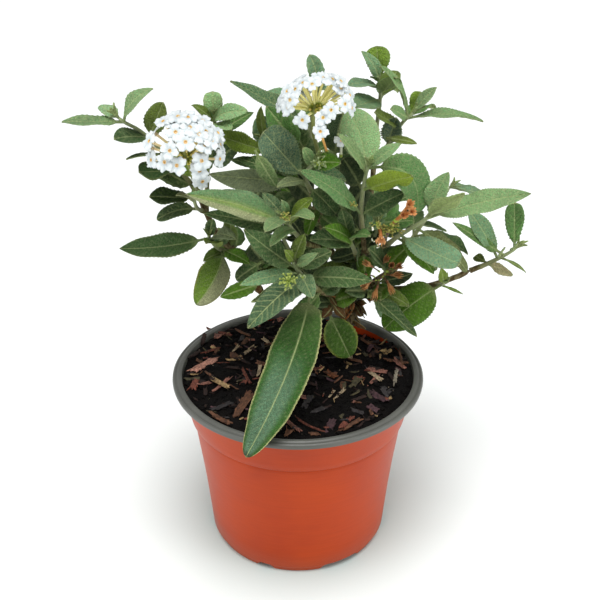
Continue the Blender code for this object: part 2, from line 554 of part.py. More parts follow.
def blade(entry, spare=0.0, start=0.0):
    """A leaf as a closed thin blade, folded, waved and toothed, from a share of its length on."""
    base, middle, tip, up = midrib(entry)
    steps = max(4, 3 + int((tip - base).length / STEP_LENGTH))
    fold = math.radians(entry["fold"])
    points = []
    for index in range(steps + 1):
        share = STALK_SHARE + (1 - STALK_SHARE) * (index - 1) / (steps - 1) if index else 0.0
        t = start + (1 - start) * share
        centre = base * (1 - t) ** 2 + middle * 2 * t * (1 - t) + tip * t * t
        way = ((middle - base) * (1 - t) + (tip - middle) * t).normalized()
        normal = (up - way * up.dot(way)).normalized()
        side = way.cross(normal)
        thick = (STALK_THICKNESS if t <= STALK_SHARE else BLADE_THICKNESS) / 2 + spare
        if index == 0:
            points.append(centre)
            continue
        if index == steps:
            points += [centre + normal * thick, centre - normal * thick]
            continue
        blade_share = max(0.0, t - STALK_SHARE) / (1 - STALK_SHARE)
        half = entry["wide"] / 2 * FULLNESS * outline(entry["form"], blade_share)
        half *= 1 + TOOTH * (-1) ** index
        half = max(half, STALK_WIDTH / 2) + spare
        if index == 1:
            points += [centre - side * half, centre + normal * thick]
            points += [centre + side * half, centre - normal * thick]
            continue
        wave = WAVE * half * math.sin(2.1 * index + entry["wide"])
        left = centre - side * half * math.cos(fold) + normal * (half * math.sin(fold) + wave)
        right = centre + side * half * math.cos(fold) + normal * (half * math.sin(fold) - wave)
        points += [point + normal * thick for point in (left, centre, right)]
        points += [point - normal * thick for point in (right, centre, left)]
    triangles = [(0, 2, 1), (0, 3, 2), (0, 4, 3), (0, 1, 4)]
    # from the stalk's four corners (1 left, 2 top, 3 right, 4 below) to the blade's six
    triangles += [(1, 2, 6), (1, 6, 5), (2, 3, 7), (2, 7, 6), (3, 8, 7), (3, 4, 9), (3, 9, 8),
                  (4, 1, 10), (4, 10, 9), (1, 5, 10)]
    for index in range(steps - 3):
        near = 5 + index * 6
        far = near + 6
        for a, b in ((0, 1), (1, 2), (2, 3), (5, 0)):
            triangles += [(near + a, near + b, far + b), (near + a, far + b, far + a)]
        for a, b in ((3, 4), (4, 5)):      # the underside is split the same way as the upper side
            triangles += [(near + a, near + b, far + a), (near + b, far + b, far + a)]
    ring = 5 + (steps - 3) * 6
    above = ring + 6
    below = ring + 7
    triangles += [(ring, ring + 1, above), (ring + 1, ring + 2, above), (ring + 2, ring + 3, below),
                  (ring + 2, below, above), (ring + 3, ring + 4, below), (ring + 4, ring + 5, below),
                  (ring + 5, ring, above), (ring + 5, above, below)]
    return ensure_out(points, triangles)


def ball(centre, radii, turns=8, rows=5):
    """A rounded lump with few faces."""
    points = [centre + Vector((0, 0, radii[2]))]
    for row in range(1, rows):
        tilt = math.pi * row / rows
        for step in range(turns):
            turn = 2 * math.pi * (step + 0.5 * (row % 2)) / turns
            points.append(centre + Vector((radii[0] * math.sin(tilt) * math.cos(turn),
                                           radii[1] * math.sin(tilt) * math.sin(turn),
                                           radii[2] * math.cos(tilt))))
    points.append(centre - Vector((0, 0, radii[2])))
    triangles = []
    last = len(points) - 1
    for step in range(turns):
        after = (step + 1) % turns
        triangles.append((0, 1 + step, 1 + after))
        triangles.append((last, last - turns + after, last - turns + step))
        for row in range(rows - 2):
            a = 1 + row * turns
            triangles.append((a + step, a + turns + step, a + turns + after))
            triangles.append((a + step, a + turns + after, a + after))
    return ensure_out(points, triangles)


def frame_on(way, spin):
    """Two ways square to a given one, turned by a spin."""
    first = way.orthogonal().normalized()
    other = way.cross(first)
    across = first * math.cos(spin) + other * math.sin(spin)
    return across, other * math.cos(spin) - first * math.sin(spin)


def floret(centre, way, spin, root, size=1.0):
    """A four-lobed floret, open towards a way, on a slim tube that reaches back to its root."""
    across, other = frame_on(way, spin)
    rim = []
    for lobe in range(4):
        for turn, reach in ((-45, NOTCH_REACH), (-LOBE_HALF_ANGLE, LOBE_REACH),
                            (LOBE_HALF_ANGLE, LOBE_REACH)):
            angle = math.radians(90 * lobe + turn)
            rim.append((across * math.cos(angle) + other * math.sin(angle)) * reach * size)
    half = way * PETAL_THICKNESS / 2
    points = [centre + half * 0.4]
    points += [centre + point + half for point in rim]
    points += [centre + point - half for point in rim]
    back = (root - centre).normalized()
    for depth in (centre - way * PETAL_THICKNESS, root):
        for corner in range(4):
            angle = math.radians(90 * corner - 45)
            points.append(depth + (across * math.cos(angle) + other * math.sin(angle)) * TUBE_RADIUS * size)
    triangles = []
    for step in range(12):
        after = (step + 1) % 12
        triangles.append((0, 1 + step, 1 + after))
        triangles += [(1 + step, 13 + step, 13 + after), (1 + step, 13 + after, 1 + after)]
    for lobe in range(4):
        notch = 13 + 3 * lobe
        next_notch = 13 + (3 * lobe + 3) % 12
        here = 25 + lobe
        there = 25 + (lobe + 1) % 4
        triangles += [(notch, here, notch + 1), (notch + 1, here, notch + 2),
                      (notch + 2, here, there), (notch + 2, there, next_notch)]
        triangles += [(here, here + 4, there + 4), (here, there + 4, there)]
    triangles += [(29, 32, 31), (29, 31, 30)]
    return ensure_out(points, triangles)


def tree_of(body):
    return BVHTree.FromPolygons(body[0], body[1])


def box_of(body, spare=0.0):
    low = [min(point[axis] for point in body[0]) - spare for axis in range(3)]
    high = [max(point[axis] for point in body[0]) + spare for axis in range(3)]
    return low, high


def apart(first, second):
    return any(first[0][axis] > second[1][axis] or second[0][axis] > first[1][axis] for axis in range(3))


class Placed:
    """What stands already, so that a new leaf can be settled clear of it."""

    def __init__(self):
        self.items = []

    def add(self, owner, body, outer=None):
        """Take in a body, and the outer part of a leaf, which its own shoot's leaves keep clear of."""
        self.items.append((owner, tree_of(body), tree_of(outer or body), box_of(body)))

    def blocks(self, owner, body, outer):
        box = box_of(body)
        whole = tree_of(body)
        part = tree_of(outer)
        for other_owner, other_tree, other_outer, other_box in self.items:
            if apart(box, other_box):
                continue
            if other_owner != owner and whole.overlap(other_tree):
                return True
            if other_owner == owner and part.overlap(other_outer):
                return True
        return False


SETTLE_STEPS = (0, -4, 4, -8, 8, -12, 12, -17, 17, -22, 22, -28, 28)
SETTLE_ARCHES = (0, 0.05, -0.05, 0.1, -0.1)
OUTER_SHARE = 0.3


def settle(owner, entry, placed):
    """Move a leaf's tip along its line of sight, or bow it more or less, until it clears what stands."""
    for step in SETTLE_STEPS:
        for arch in SETTLE_ARCHES:
            trial = dict(entry)
            trial["tip_at"] = entry["tip_at"] + entry["tip_way"] * step
            trial["arch"] = entry["arch"] + arch
            if not placed.blocks(owner, blade(trial, CLEARANCE), blade(trial, 0.0, OUTER_SHARE)):
                return trial
    raise RuntimeError("a leaf of " + owner + " finds no clear place")


def nearest(stem, base):
    """The place on a stem that the view shows nearest to a pixel, clear of the stem's start."""
    target = Vector(base)
    places = [point for point in smooth(stem, 8) if (point - stem[0]).length > CLEAR_START]
    return min(places, key=lambda point: (pixel(point) - target).length)


def stem_line(points):
    """A shoot's stem, begun one gap past the end of the branch that carries it."""
    way = (points[1] - points[0]).normalized()
    return [points[0] + way * GAP] + points[1:], way


def photographed_shoots():
    shoots = {}
    for name, plan in list(SHOOTS.items()) + list(DRY.items()):
        stem = [seen(*place) for place in plan["stem"]]
        line, way = stem_line(stem)
        entries = []
        for entry in plan["leaves"]:
            entry = dict(entry)
            entry["base_at"] = nearest(stem, entry["base"])
            entry["tip_at"] = seen(*entry["tip"])
            entry["tip_way"] = (entry["tip_at"] - VIEW_POINT).normalized()
            entries.append(entry)
        stub = [seen(*place) for place in plan["stub"]] + [stem[0]]
        shoots[name] = {"stub": stub, "line": line, "way": way, "radii": plan["radii"],
                        "leaves": entries}
    return shoots


def back_shoots():
    shoots = {}
    draw = random.Random(BACK_SEED)
    rule = BACK_RULE
    for name, plan in BACK_SHOOTS.items():
        turn = math.radians(plan["turn"])
        out = Vector((math.cos(turn), math.sin(turn), 0))
        start = Vector(plan["start"])
        stem = []
        for share in (0, 0.33, 0.66, 1):
            rise = plan["rise"] * share ** rule["bend"]
            stem.append(start + out * plan["reach"] * share * rule["level"] + Vector((0, 0, rise)))
        line, way = stem_line(stem)
        entries = []
        for pair in range(plan["pairs"]):
            share = rule["first"] + (1 - rule["first"]) * pair / (plan["pairs"] - 1)
            place = line[round((len(line) - 1) * share)]
            size = 1 - rule["shrink"] * pair
            for side in (-1, 1):
                stray = draw.uniform(-rule["stray"], rule["stray"])
                spread = math.radians(rule["spread"] - rule["closing"] * pair + stray) * side
                lean = out.copy()
                lean.rotate(Matrix.Rotation(spread, 3, "Z"))
                lift = draw.uniform(*rule["lift"]) + rule["climb"] * pair
                reach = draw.uniform(*rule["length"]) * size
                wide = draw.uniform(*rule["width"]) * size
                entry = leaf(None, None, wide, "lance", (0, 0, 1), rule["arch"])
                entry["base_at"] = place
                entry["tip_at"] = place + (lean + Vector((0, 0, lift))).normalized() * reach
                entry["tip_way"] = Vector((0, 0, 1))
                entry["up"] = Vector((-lean.x * rule["lean_back"], -lean.y * rule["lean_back"], 1))
                entries.append(entry)
        stub = [FORK, (FORK + start) / 2 + Vector((0, 3, 2)), start]
        shoots[name] = {"stub": stub, "line": line, "way": way, "radii": BACK_STEM_RADII,
                        "leaves": entries}
    return shoots


# Flower heads: florets stand out of a slim core on a rachis. The visible ones are at the pixels listed.
HEADS = {
    "flower_left": {
        "stub": ((199, 196, 13), (198, 190, 7)),
        "stem": ((197.5, 188, 5), (194, 178, -4), (188, 160, -14), (180, 145, -19)),
        "centre": (183, 148, -17), "radii": (19.0, 14.0, 16.5), "core": (7.0, 6.0, 8.0),
        "florets": ((149, 143), (152, 162), (163.6, 164), (205.7, 146.7), (220, 159), (162.6, 121.8),
                    (179.8, 118), (193, 125.7), (203, 133), (175.6, 132), (185.2, 142.9), (169.5, 150.7),
                    (177, 165.1), (201.6, 161.1), (199.3, 172), (202.4, 183), (158, 135), (169, 177),
                    (190, 155), (214, 152)),
        "hidden": 3, "tubes": 0, "seed": 3,
    },
    "flower_top": {
        "stub": ((319, 218, 22), (327, 196, 18)),
        "stem": ((327, 192, 17), (323, 170, 14), (315, 140, 8), (313, 122, 4), (315, 105, 2)),
        "centre": (316, 106, 2), "radii": (18.0, 14.0, 15.0), "core": (5.0, 5.0, 6.0),
        "florets": ((281, 99), (287, 112), (291, 92), (300.8, 82), (325, 78.5), (334, 78), (343, 85),
                    (350.5, 93), (347, 106.5), (290.3, 106.5), (302.4, 121), (323.2, 117.8), (320.2, 131.7),
                    (344, 118), (336, 133), (313, 92)),
        "hidden": 3, "tubes": 5, "seed": 5,
    },
}


def head_bodies(plan):
    """The rachis, the core and the florets of one flower head."""
    centre = seen(*plan["centre"])
    radii = Vector(plan["radii"])
    stem = [seen(*place) for place in plan["stem"]]
    line, way = stem_line(stem)
    green = [tube(line, (1.3, 1.0), 5), ball(centre, plan["core"], 6, 4)]
    draw = random.Random(plan["seed"])
    spots = []
    for across, down in plan["florets"]:
        flat = seen(across, down, centre.y) - centre
        share = min(1.0, (flat.x / radii.x) ** 2 + (flat.z / radii.z) ** 2)
        spots.append(centre + Vector((flat.x, -radii.y * math.sqrt(1 - share), flat.z)))
    golden = math.pi * (3 - math.sqrt(5))
    for index in range(plan["hidden"]):
        height = 0.85 - 1.5 * index / (plan["hidden"] - 1)
        ring = math.sqrt(1 - height * height)
        turn = math.radians(90) + (golden * index) % math.pi - math.pi / 2
        spots.append(centre + Vector((radii.x * ring * math.cos(turn), radii.y * ring * math.sin(turn),
                                      radii.z * height)))
    white = []
    for spot in spots:
        out = spot - centre
        normal = Vector((out.x / radii.x ** 2, out.y / radii.y ** 2, out.z / radii.z ** 2)).normalized()
        if spot.y < centre.y:
            normal = (normal + (VIEW_POINT - spot).normalized() * FACE_VIEW).normalized()
        root = centre + out * 0.25
        white.append(floret(spot, normal, draw.uniform(0, math.pi / 2), root))
    for index in range(plan["tubes"]):
        turn = 2 * math.pi * (index + draw.uniform(-0.2, 0.2)) / plan["tubes"]
        out = Vector((math.cos(turn) * 0.9, -0.55 + draw.uniform(-0.2, 0.2), math.sin(turn)))
        end = centre + out.normalized() * 10.5
        green.append(tube([centre + out.normalized() * 2, end], (0.7, 1.0), 5))
    return line, way, [seen(*place) for place in plan["stub"]] + [stem[0]], green, white, centre, radii


def main_bodies():
    """Settle every stem, head and leaf, and give back each node's closed bodies."""
    nodes = {}
    placed = Placed()
    placed.add("pot", lathe_body(pot_profile(), 36))
    top = SOIL_HEIGHT + CHIP_HEIGHT
    bottom = SOIL_HEIGHT - GUARD_DEPTH
    placed.add("soil", lathe_body([(0, top), (63, top), (62, bottom), (0, bottom)], 24))
    wood = [tube(TRUNK, TRUNK_RADII, 8)]
    for places in BRANCHES.values():
        wood.append(tube([FORK] + [seen(*place) for place in places], BRANCH_RADII, 5))
    shoots = photographed_shoots()
    shoots.update(back_shoots())
    for plan in shoots.values():
        wood.append(tube(plan["stub"], (STUB_RADIUS, plan["radii"][0]), 4, plan["way"]))
    for name, plan in HEADS.items():
        line, way, stub, green, white, centre, radii = head_bodies(plan)
        wood.append(tube(stub, HEAD_STUB_RADII, 4, way))
        nodes[name] = (green, white)
        placed.add(name, green[0])
        placed.add(name, ball(centre, radii + Vector((1, 1, 1)) * HEAD_ROOM, 16, 10))
    for body in wood:
        placed.add("branches", body)
    for name, plan in shoots.items():
        stem = tube(plan["line"], plan["radii"], 4)
        placed.add(name, stem)
        nodes[name] = ([stem], [])
    for name, plan in shoots.items():
        for entry in plan["leaves"]:
            settled = settle(name, entry, placed)
            body = blade(settled)
            placed.add(name, body, blade(settled, 0.0, OUTER_SHARE))
            nodes[name][0].append(body)
    nodes["branches"] = (wood, [])
    return nodes


def pot_profile():
    """The pot's wall: up the outside, over the lip, down the inside, then the raised floor."""
    shoulder = SHOULDER_HEIGHT
    wall = POT_WALL
    return [
        (FOOT_RADIUS, 0), (FOOT_RADIUS + 1.7, 3.5), (SHOULDER_RADIUS - 0.3, shoulder - 2),
        (SHOULDER_RADIUS + 1.3, shoulder + 1.2), (NECK_RADIUS, NECK_HEIGHT),
        (NECK_RADIUS + 2, LIP_BOTTOM), (LIP_RADIUS - 0.5, LIP_BOTTOM + 0.3),
        (LIP_RADIUS, 103.2), (LIP_RADIUS - 1.3, POT_HEIGHT - 0.2), (LIP_RADIUS - 3.0, POT_HEIGHT),
        (LIP_INNER_RADIUS + 0.3, POT_HEIGHT), (LIP_INNER_RADIUS - 0.3, LIP_BOTTOM),
        (NECK_RADIUS - wall, NECK_HEIGHT), (SHOULDER_RADIUS + 0.9 - wall, shoulder + 1.2),
        (SHOULDER_RADIUS - 0.4 - wall, shoulder - 2), (FOOT_RADIUS + 2 - wall, FOOT_HEIGHT + wall),
        (0, FOOT_HEIGHT + wall), (0, FOOT_HEIGHT), (FOOT_RADIUS - 3.6, FOOT_HEIGHT), (FOOT_RADIUS - 3.0, 0),
    ]


def lathe_body(profile, sides):
    """Turn a closed outline of radius and height about the pot's axis."""
    points = []
    rings = []
    for radius, height in profile:
        if radius == 0:
            points.append(Vector((0, 0, height)))
            rings.append([len(points) - 1] * sides)
            continue
        ring = []
        for side in range(sides):
            turn = 2 * math.pi * side / sides
            points.append(Vector((radius * math.cos(turn), radius * math.sin(turn), height)))
            ring.append(len(points) - 1)
        rings.append(ring)
    triangles = []
    for index, ring in enumerate(rings):
        after = rings[(index + 1) % len(rings)]
        for side in range(sides):
            next_side = (side + 1) % sides
            corners = (ring[side], ring[next_side], after[next_side], after[side])
            for a, b, c in ((0, 1, 2), (0, 2, 3)):
                if len({corners[a], corners[b], corners[c]}) == 3:
                    triangles.append((corners[a], corners[b], corners[c]))
    return ensure_out(points, triangles)


def make_material(name, colour, roughness):
    material = bpy.data.materials.new(name)
    material.use_nodes = True
    shader = material.node_tree.nodes["Principled BSDF"]
    shader.inputs["Base Color"].default_value = (*colour, 1)
    shader.inputs["Roughness"].default_value = roughness
    shader.inputs["Metallic"].default_value = 0
    return material


def make_object(name, body, slots, slot=0):
    """A closed body as an object, in metres."""
    points, triangles = body
    mesh = bpy.data.meshes.new(name)
    mesh.from_pydata([point * MM for point in points], [], triangles)
    for material in slots:
        mesh.materials.append(material)
    for face in mesh.polygons:
        face.material_index = slot
    made = bpy.data.objects.new(name, mesh)
    bpy.context.scene.collection.objects.link(made)
    return made


def apply_boolean(made, operation, others, solver):
    """Join or cut with all objects of a collection in one step, then remove them."""
    group = bpy.data.collections.new(made.name + "_parts")
    bpy.context.scene.collection.children.link(group)
    for other in others:
        bpy.context.scene.collection.objects.unlink(other)
        group.objects.link(other)
    modifier = made.modifiers.new("join", "BOOLEAN")
    modifier.operation = operation
    modifier.operand_type = "COLLECTION"
    modifier.collection = group
    modifier.solver = solver
    bpy.context.view_layer.objects.active = made
    bpy.ops.object.modifier_apply(modifier=modifier.name)
    for other in others:
        bpy.data.objects.remove(other)
    bpy.data.collections.remove(group)


def shells_of(sheet):
    """The faces of a mesh, in groups that hang together by their edges, the widest first."""
    waiting = set(sheet.faces)
    shells = []
    while waiting:
        first = waiting.pop()
        shell = [first]
        queue = [first]
        while queue:
            for edge in queue.pop().edges:
                for other in edge.link_faces:
                    if other in waiting:
                        waiting.remove(other)
                        shell.append(other)
                        queue.append(other)
        shells.append(shell)

    def reach(shell):
        places = [vertex.co for face in shell for vertex in face.verts]
        low = [min(place[axis] for place in places) for axis in range(3)]
        high = [max(place[axis] for place in places) for axis in range(3)]
        return sum(high) - sum(low)

    return sorted(shells, key=reach, reverse=True)


def keep_outer_shell(made):
    """Fill hollows that joining sealed, and drop loose scraps, by keeping the one largest outer skin."""
    sheet = bmesh.new()
    sheet.from_mesh(made.data)
    extra = [face for shell in shells_of(sheet)[1:] for face in shell]
    bmesh.ops.delete(sheet, geom=extra, context="FACES")
    sheet.to_mesh(made.data)
    sheet.free()


def merge_flat_faces(made):
    """Merge what a union left as slivers in one plane, where that keeps the skin closed."""
    for distance, angle in ((MERGE, 1.5), (MERGE, 0.5), (0, 1.0), (0, 0.2)):
        sheet = bmesh.new()
        sheet.from_mesh(made.data)
        if distance:
            bmesh.ops.remove_doubles(sheet, verts=sheet.verts, dist=distance * MM)
            bmesh.ops.dissolve_degenerate(sheet, edges=sheet.edges, dist=distance * MM)
        bmesh.ops.dissolve_limit(sheet, angle_limit=math.radians(angle), verts=sheet.verts,
                                 edges=sheet.edges)
        bmesh.ops.triangulate(sheet, faces=sheet.faces)
        closed = all(len(edge.link_faces) == 2 for edge in sheet.edges) and len(shells_of(sheet)) == 1
        if closed:
            sheet.to_mesh(made.data)
        sheet.free()
        if closed:
            return
    print(made.name, "stays as the union made it")


def fuse(name, bodies, trims, slots):
    """One node: its bodies joined by one union."""
    first = make_object(name, bodies[0], slots)
    others = [make_object(name + "_part", body, slots) for body in bodies[1:]]
    others += [make_object(name + "_part", body, slots, 1) for body in trims]
    if others:
        apply_boolean(first, "UNION", others, "MANIFOLD")
        keep_outer_shell(first)
        merge_flat_faces(first)
    return first


def make_pot(slots):
    """The pot, with a grey lip, notches in its foot and drain holes in its floor."""
    pot = make_object("pot", lathe_body(pot_profile(), POT_SIDES), slots)
    for face in pot.data.polygons:
        if face.center.z > (LIP_BOTTOM - 0.1) * MM:
            face.material_index = 1
    cutters = []
    for number, turn in enumerate(NOTCH_TURNS):
        width = NARROW_NOTCH_WIDTH if number == 0 else NOTCH_WIDTH
        cutters.append(make_object("notch", notch_body(math.radians(turn), width), slots))
        cutters.append(make_object("drain", drain_body(math.radians(turn)), slots))
    apply_boolean(pot, "DIFFERENCE", cutters, "EXACT")
    keep_outer_shell(pot)
    merge_flat_faces(pot)
    pot.data.shade_smooth()
    pot.data.set_sharp_from_angle(angle=math.radians(35))
    return pot


def notch_body(turn, width):
    """A wedge that cuts one notch, wider at the floor than at its top."""
    out = Vector((math.cos(turn), math.sin(turn), 0))
    side = Vector((-out.y, out.x, 0))
    points = []
    for height, half in ((-1.0, width / 2 + 3.2), (FOOT_HEIGHT - 0.8, width / 2 - 1.5)):
        for reach, sign in ((FOOT_RADIUS - 8, -1), (FOOT_RADIUS + 6, -1),
                            (FOOT_RADIUS + 6, 1), (FOOT_RADIUS - 8, 1)):
            points.append(out * reach + side * sign * half + Vector((0, 0, height)))
    triangles = [(0, 2, 1), (0, 3, 2), (4, 5, 6), (4, 6, 7)]
    for a in range(4):
        b = (a + 1) % 4
        triangles += [(a, b, b + 4), (a, b + 4, a + 4)]
    return ensure_out(points, triangles)


def drain_body(turn):
    centre = Vector((math.cos(turn), math.sin(turn), 0)) * DRAIN_RING
    low = centre + Vector((0, 0, FOOT_HEIGHT - 2))
    high = centre + Vector((0, 0, FOOT_HEIGHT + POT_WALL + 2))
    return tube([low, high], (DRAIN_RADIUS, DRAIN_RADIUS), 8)


def inner_radius(height):
    """The pot's inside radius at a height."""
    profile = pot_profile()[10:16]
    for (wide, top), (narrow, bottom) in zip(profile, profile[1:]):
        if bottom <= height <= top:
            return narrow + (wide - narrow) * (height - bottom) / (top - bottom)
    return profile[-1][0]


def soil_top(x, y):
    """The soil's uneven surface, which dips at the back right."""
    swell = 1.0 * math.sin(x * 0.11 + 1.0) * math.cos(y * 0.09) + 0.6 * math.sin(x * 0.23 - y * 0.17)
    dip = 5.2 * math.exp(-((x - 38) ** 2 + (y - 50) ** 2) / 300)
    return SOIL_HEIGHT + swell - dip


def make_soil(slots):
    """The soil plug, with bark chips lying in its surface and a plain hole for the trunk."""
    floor = FOOT_HEIGHT + POT_WALL + GAP
    points = [Vector((0, 0, soil_top(0, 0)))]
    for ring in range(1, SOIL_RINGS + 1):
        for side in range(POT_SIDES):
            turn = 2 * math.pi * side / POT_SIDES
            radius = LIP_INNER_RADIUS * ring / SOIL_RINGS
            height = soil_top(radius * math.cos(turn), radius * math.sin(turn))
            if ring == SOIL_RINGS:
                height -= EDGE_DROP
                radius = inner_radius(height) - GAP
            points.append(Vector((radius * math.cos(turn), radius * math.sin(turn), height)))
    for height in (NECK_HEIGHT, SHOULDER_HEIGHT + 1.2, SHOULDER_HEIGHT - 2, floor):
        radius = inner_radius(height) - GAP
        for side in range(POT_SIDES):
            turn = 2 * math.pi * side / POT_SIDES
            points.append(Vector((radius * math.cos(turn), radius * math.sin(turn), height)))
    points.append(Vector((0, 0, floor)))
    triangles = []
    for side in range(POT_SIDES):
        after = (side + 1) % POT_SIDES
        triangles.append((0, 1 + side, 1 + after))
        for ring in range(SOIL_RINGS + 3):
            a = 1 + ring * POT_SIDES
            b = a + POT_SIDES
            triangles += [(a + side, b + side, b + after), (a + side, b + after, a + after)]
        a = 1 + (SOIL_RINGS + 3) * POT_SIDES
        triangles.append((a + side, len(points) - 1, a + after))
    soil = make_object("soil", ensure_out(points, triangles), slots)
    draw = random.Random(CHIP_SEED)
    chips = []
    for across, down, back, long, wide, spin, tilt in CHIPS:
        centre = seen(across, down, back)
        centre.z = soil_top(centre.x, centre.y) + 0.6
        chips.append(make_object("chip", chip_body(centre, long, wide, spin, tilt), slots, 1))
    for index in range(CHIP_COUNT):
        turn = math.radians(25 + 130 * index / (CHIP_COUNT - 1))
        radius = draw.uniform(30, 52)
        centre = Vector((radius * math.cos(turn), radius * math.sin(turn), 0))
        centre.z = soil_top(centre.x, centre.y) + 0.5
        chips.append(make_object("chip", chip_body(centre, draw.uniform(4, 7), draw.uniform(1.5, 3),
                                                   draw.uniform(0, 180), draw.uniform(-15, 15)), slots, 1))
    apply_boolean(soil, "UNION", chips, "MANIFOLD")
    hole = tube([Vector((20, 34, SOIL_HEIGHT - TRUNK_DEPTH)), Vector((20.3, 34, SOIL_HEIGHT - 4)),
                 Vector((23, 34, SOIL_HEIGHT + 8))], (TRUNK_HOLE_RADIUS, TRUNK_HOLE_RADIUS + 0.6), 12)
    apply_boolean(soil, "DIFFERENCE", [make_object("hole", hole, slots)], "MANIFOLD")
    keep_outer_shell(soil)
    merge_flat_faces(soil)
    return soil


def chip_body(centre, long, wide, spin, tilt):
    """A thin four-cornered flake of bark, of a half length and a half width, turned and tilted."""
    spin = math.radians(spin)
    tilt = math.radians(tilt)
    along = Vector((math.cos(spin) * math.cos(tilt), math.sin(spin) * math.cos(tilt), math.sin(tilt)))
    up = Vector((-math.cos(spin) * math.sin(tilt), -math.sin(spin) * math.sin(tilt), math.cos(tilt)))
    side = along.cross(up)
    points = []
    for lift in (-1.2, 0.7):
        for reach, half in ((-long, -wide * 0.5), (long * 0.8, -wide),
                            (long, wide * 0.5), (-long * 0.6, wide)):
            points.append(centre + along * reach + side * half + up * lift)
    triangles = [(0, 2, 1), (0, 3, 2), (4, 5, 6), (4, 6, 7)]
    for a in range(4):
        b = (a + 1) % 4
        triangles += [(a, b, b + 4), (a, b + 4, a + 4)]
    return ensure_out(points, triangles)


def stand_on_origin(nodes):
    """Move every node so that the box of the whole stands on the origin."""
    corners = [made.matrix_world @ Vector(corner) for made in nodes for corner in made.bound_box]
    low = Vector(min(corner[axis] for corner in corners) for axis in range(3))
    high = Vector(max(corner[axis] for corner in corners) for axis in range(3))
    shift = Vector((-(low.x + high.x) / 2, -(low.y + high.y) / 2, -low.z))
    holder = bpy.data.objects.new("potted_butterfly_bush", None)
    bpy.context.scene.collection.objects.link(holder)
    holder.location = shift
    for made in nodes:
        made.parent = holder
    bpy.context.view_layer.update()


def main():
    for old in list(bpy.data.objects):
        bpy.data.objects.remove(old)
    terracotta = make_material("terracotta_plastic", (0.50, 0.07, 0.02), 0.4)
    grey = make_material("grey_lip", (0.16, 0.17, 0.14), 0.35)
    earth = make_material("potting_soil", (0.012, 0.009, 0.007), 0.95)
    bark = make_material("bark_chips", (0.13, 0.06, 0.045), 0.9)
    wood = make_material("woody_stem", (0.20, 0.15, 0.09), 0.8)
    green = make_material("leaf_green", (0.06, 0.16, 0.06), 0.6)
    dry = make_material("dry_leaf", (0.22, 0.10, 0.05), 0.9)
    petal = make_material("white_petal", (0.85, 0.85, 0.82), 0.5)
    tube_yellow = make_material("flower_tube", (0.55, 0.42, 0.06), 0.6)
    made = [make_pot([terracotta, grey]), make_soil([earth, bark])]
    for name, (bodies, trims) in main_bodies().items():
        slots = [green]
        if name == "branches":
            slots = [wood]
        if name in DRY:
            slots = [dry]
        if trims:
            slots = [tube_yellow, petal]
        made.append(fuse(name, bodies, trims, slots))
    stand_on_origin(made)


main()
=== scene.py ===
# A potted butterfly bush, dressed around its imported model: a nursery pot of bark-strewn soil, a woody
# framework, leafy shoots and white flower heads.
# Lengths are in millimetres from the pot's axis, and become metres in the frame where a mesh is written.
import math
import random

import bpy
import numpy as np
from mathutils import Matrix, Vector, kdtree, noise


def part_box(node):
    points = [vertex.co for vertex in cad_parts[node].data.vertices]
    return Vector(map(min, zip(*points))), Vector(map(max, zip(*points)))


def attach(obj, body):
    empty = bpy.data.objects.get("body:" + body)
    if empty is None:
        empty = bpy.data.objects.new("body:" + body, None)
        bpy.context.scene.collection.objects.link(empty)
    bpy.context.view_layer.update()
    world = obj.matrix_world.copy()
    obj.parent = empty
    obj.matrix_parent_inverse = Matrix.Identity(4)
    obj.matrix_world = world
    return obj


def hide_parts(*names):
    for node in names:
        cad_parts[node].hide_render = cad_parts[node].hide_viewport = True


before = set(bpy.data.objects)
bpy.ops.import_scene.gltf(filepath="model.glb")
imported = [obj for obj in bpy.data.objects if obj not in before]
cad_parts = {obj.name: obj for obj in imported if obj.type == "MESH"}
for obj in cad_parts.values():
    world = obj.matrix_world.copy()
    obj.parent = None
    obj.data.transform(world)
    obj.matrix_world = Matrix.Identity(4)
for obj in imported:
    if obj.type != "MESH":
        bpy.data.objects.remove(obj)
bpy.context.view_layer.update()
bpy.ops.object.select_all(action="DESELECT")

mm = 0.001
potLow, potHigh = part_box("pot")
potAxis = Vector(((potLow.x + potHigh.x) / 2, (potLow.y + potHigh.y) / 2, 0))

# The view that the places are read from: the viewpoint, how far it tips down, and how many pixels one unit
# of slope takes up in a picture whose centre is at (300, 300).
view = {"point": Vector((1.2, -504.1, 430.4)), "tip": math.radians(29.17), "pixels": 1069.3, "centre": 300.0}


def atPixel(across, down, back):  # the point seen at a pixel, as far back as stated
    right = (across - view["centre"]) / view["pixels"]
    up = (view["centre"] - down) / view["pixels"]
    ray = Vector((right,
                  math.cos(view["tip"]) + up * math.sin(view["tip"]),
                  up * math.cos(view["tip"]) - math.sin(view["tip"])))
    return view["point"] + ray * ((back - view["point"].y) / ray.y)


def pixelOf(point):
    offset = point - view["point"]
    depth = offset.y * math.cos(view["tip"]) - offset.z * math.sin(view["tip"])
    up = offset.y * math.sin(view["tip"]) + offset.z * math.cos(view["tip"])
    return Vector((view["centre"] + view["pixels"] * offset.x / depth,
                   view["centre"] - view["pixels"] * up / depth))


def inFrame(point):
    return Vector(point) * mm + potAxis


def numbers(row):
    return [float(part) for part in row.split()]


def placesOf(row):  # places written by pixel and depth, such as "199 196 13, 193 187 10"
    return [atPixel(*numbers(part)) for part in row.split(",")]


def tone(red, green, blue):  # a screen colour, 0 to 255, as linear light
    return tuple(((part / 255 + 0.055) / 1.055) ** 2.4 for part in (red, green, blue))


def newest():  # what an operator has just added
    return bpy.context.active_object


def makeActive(piece):
    bpy.ops.object.select_all(action="DESELECT")
    piece.select_set(True)
    bpy.context.view_layer.objects.active = piece


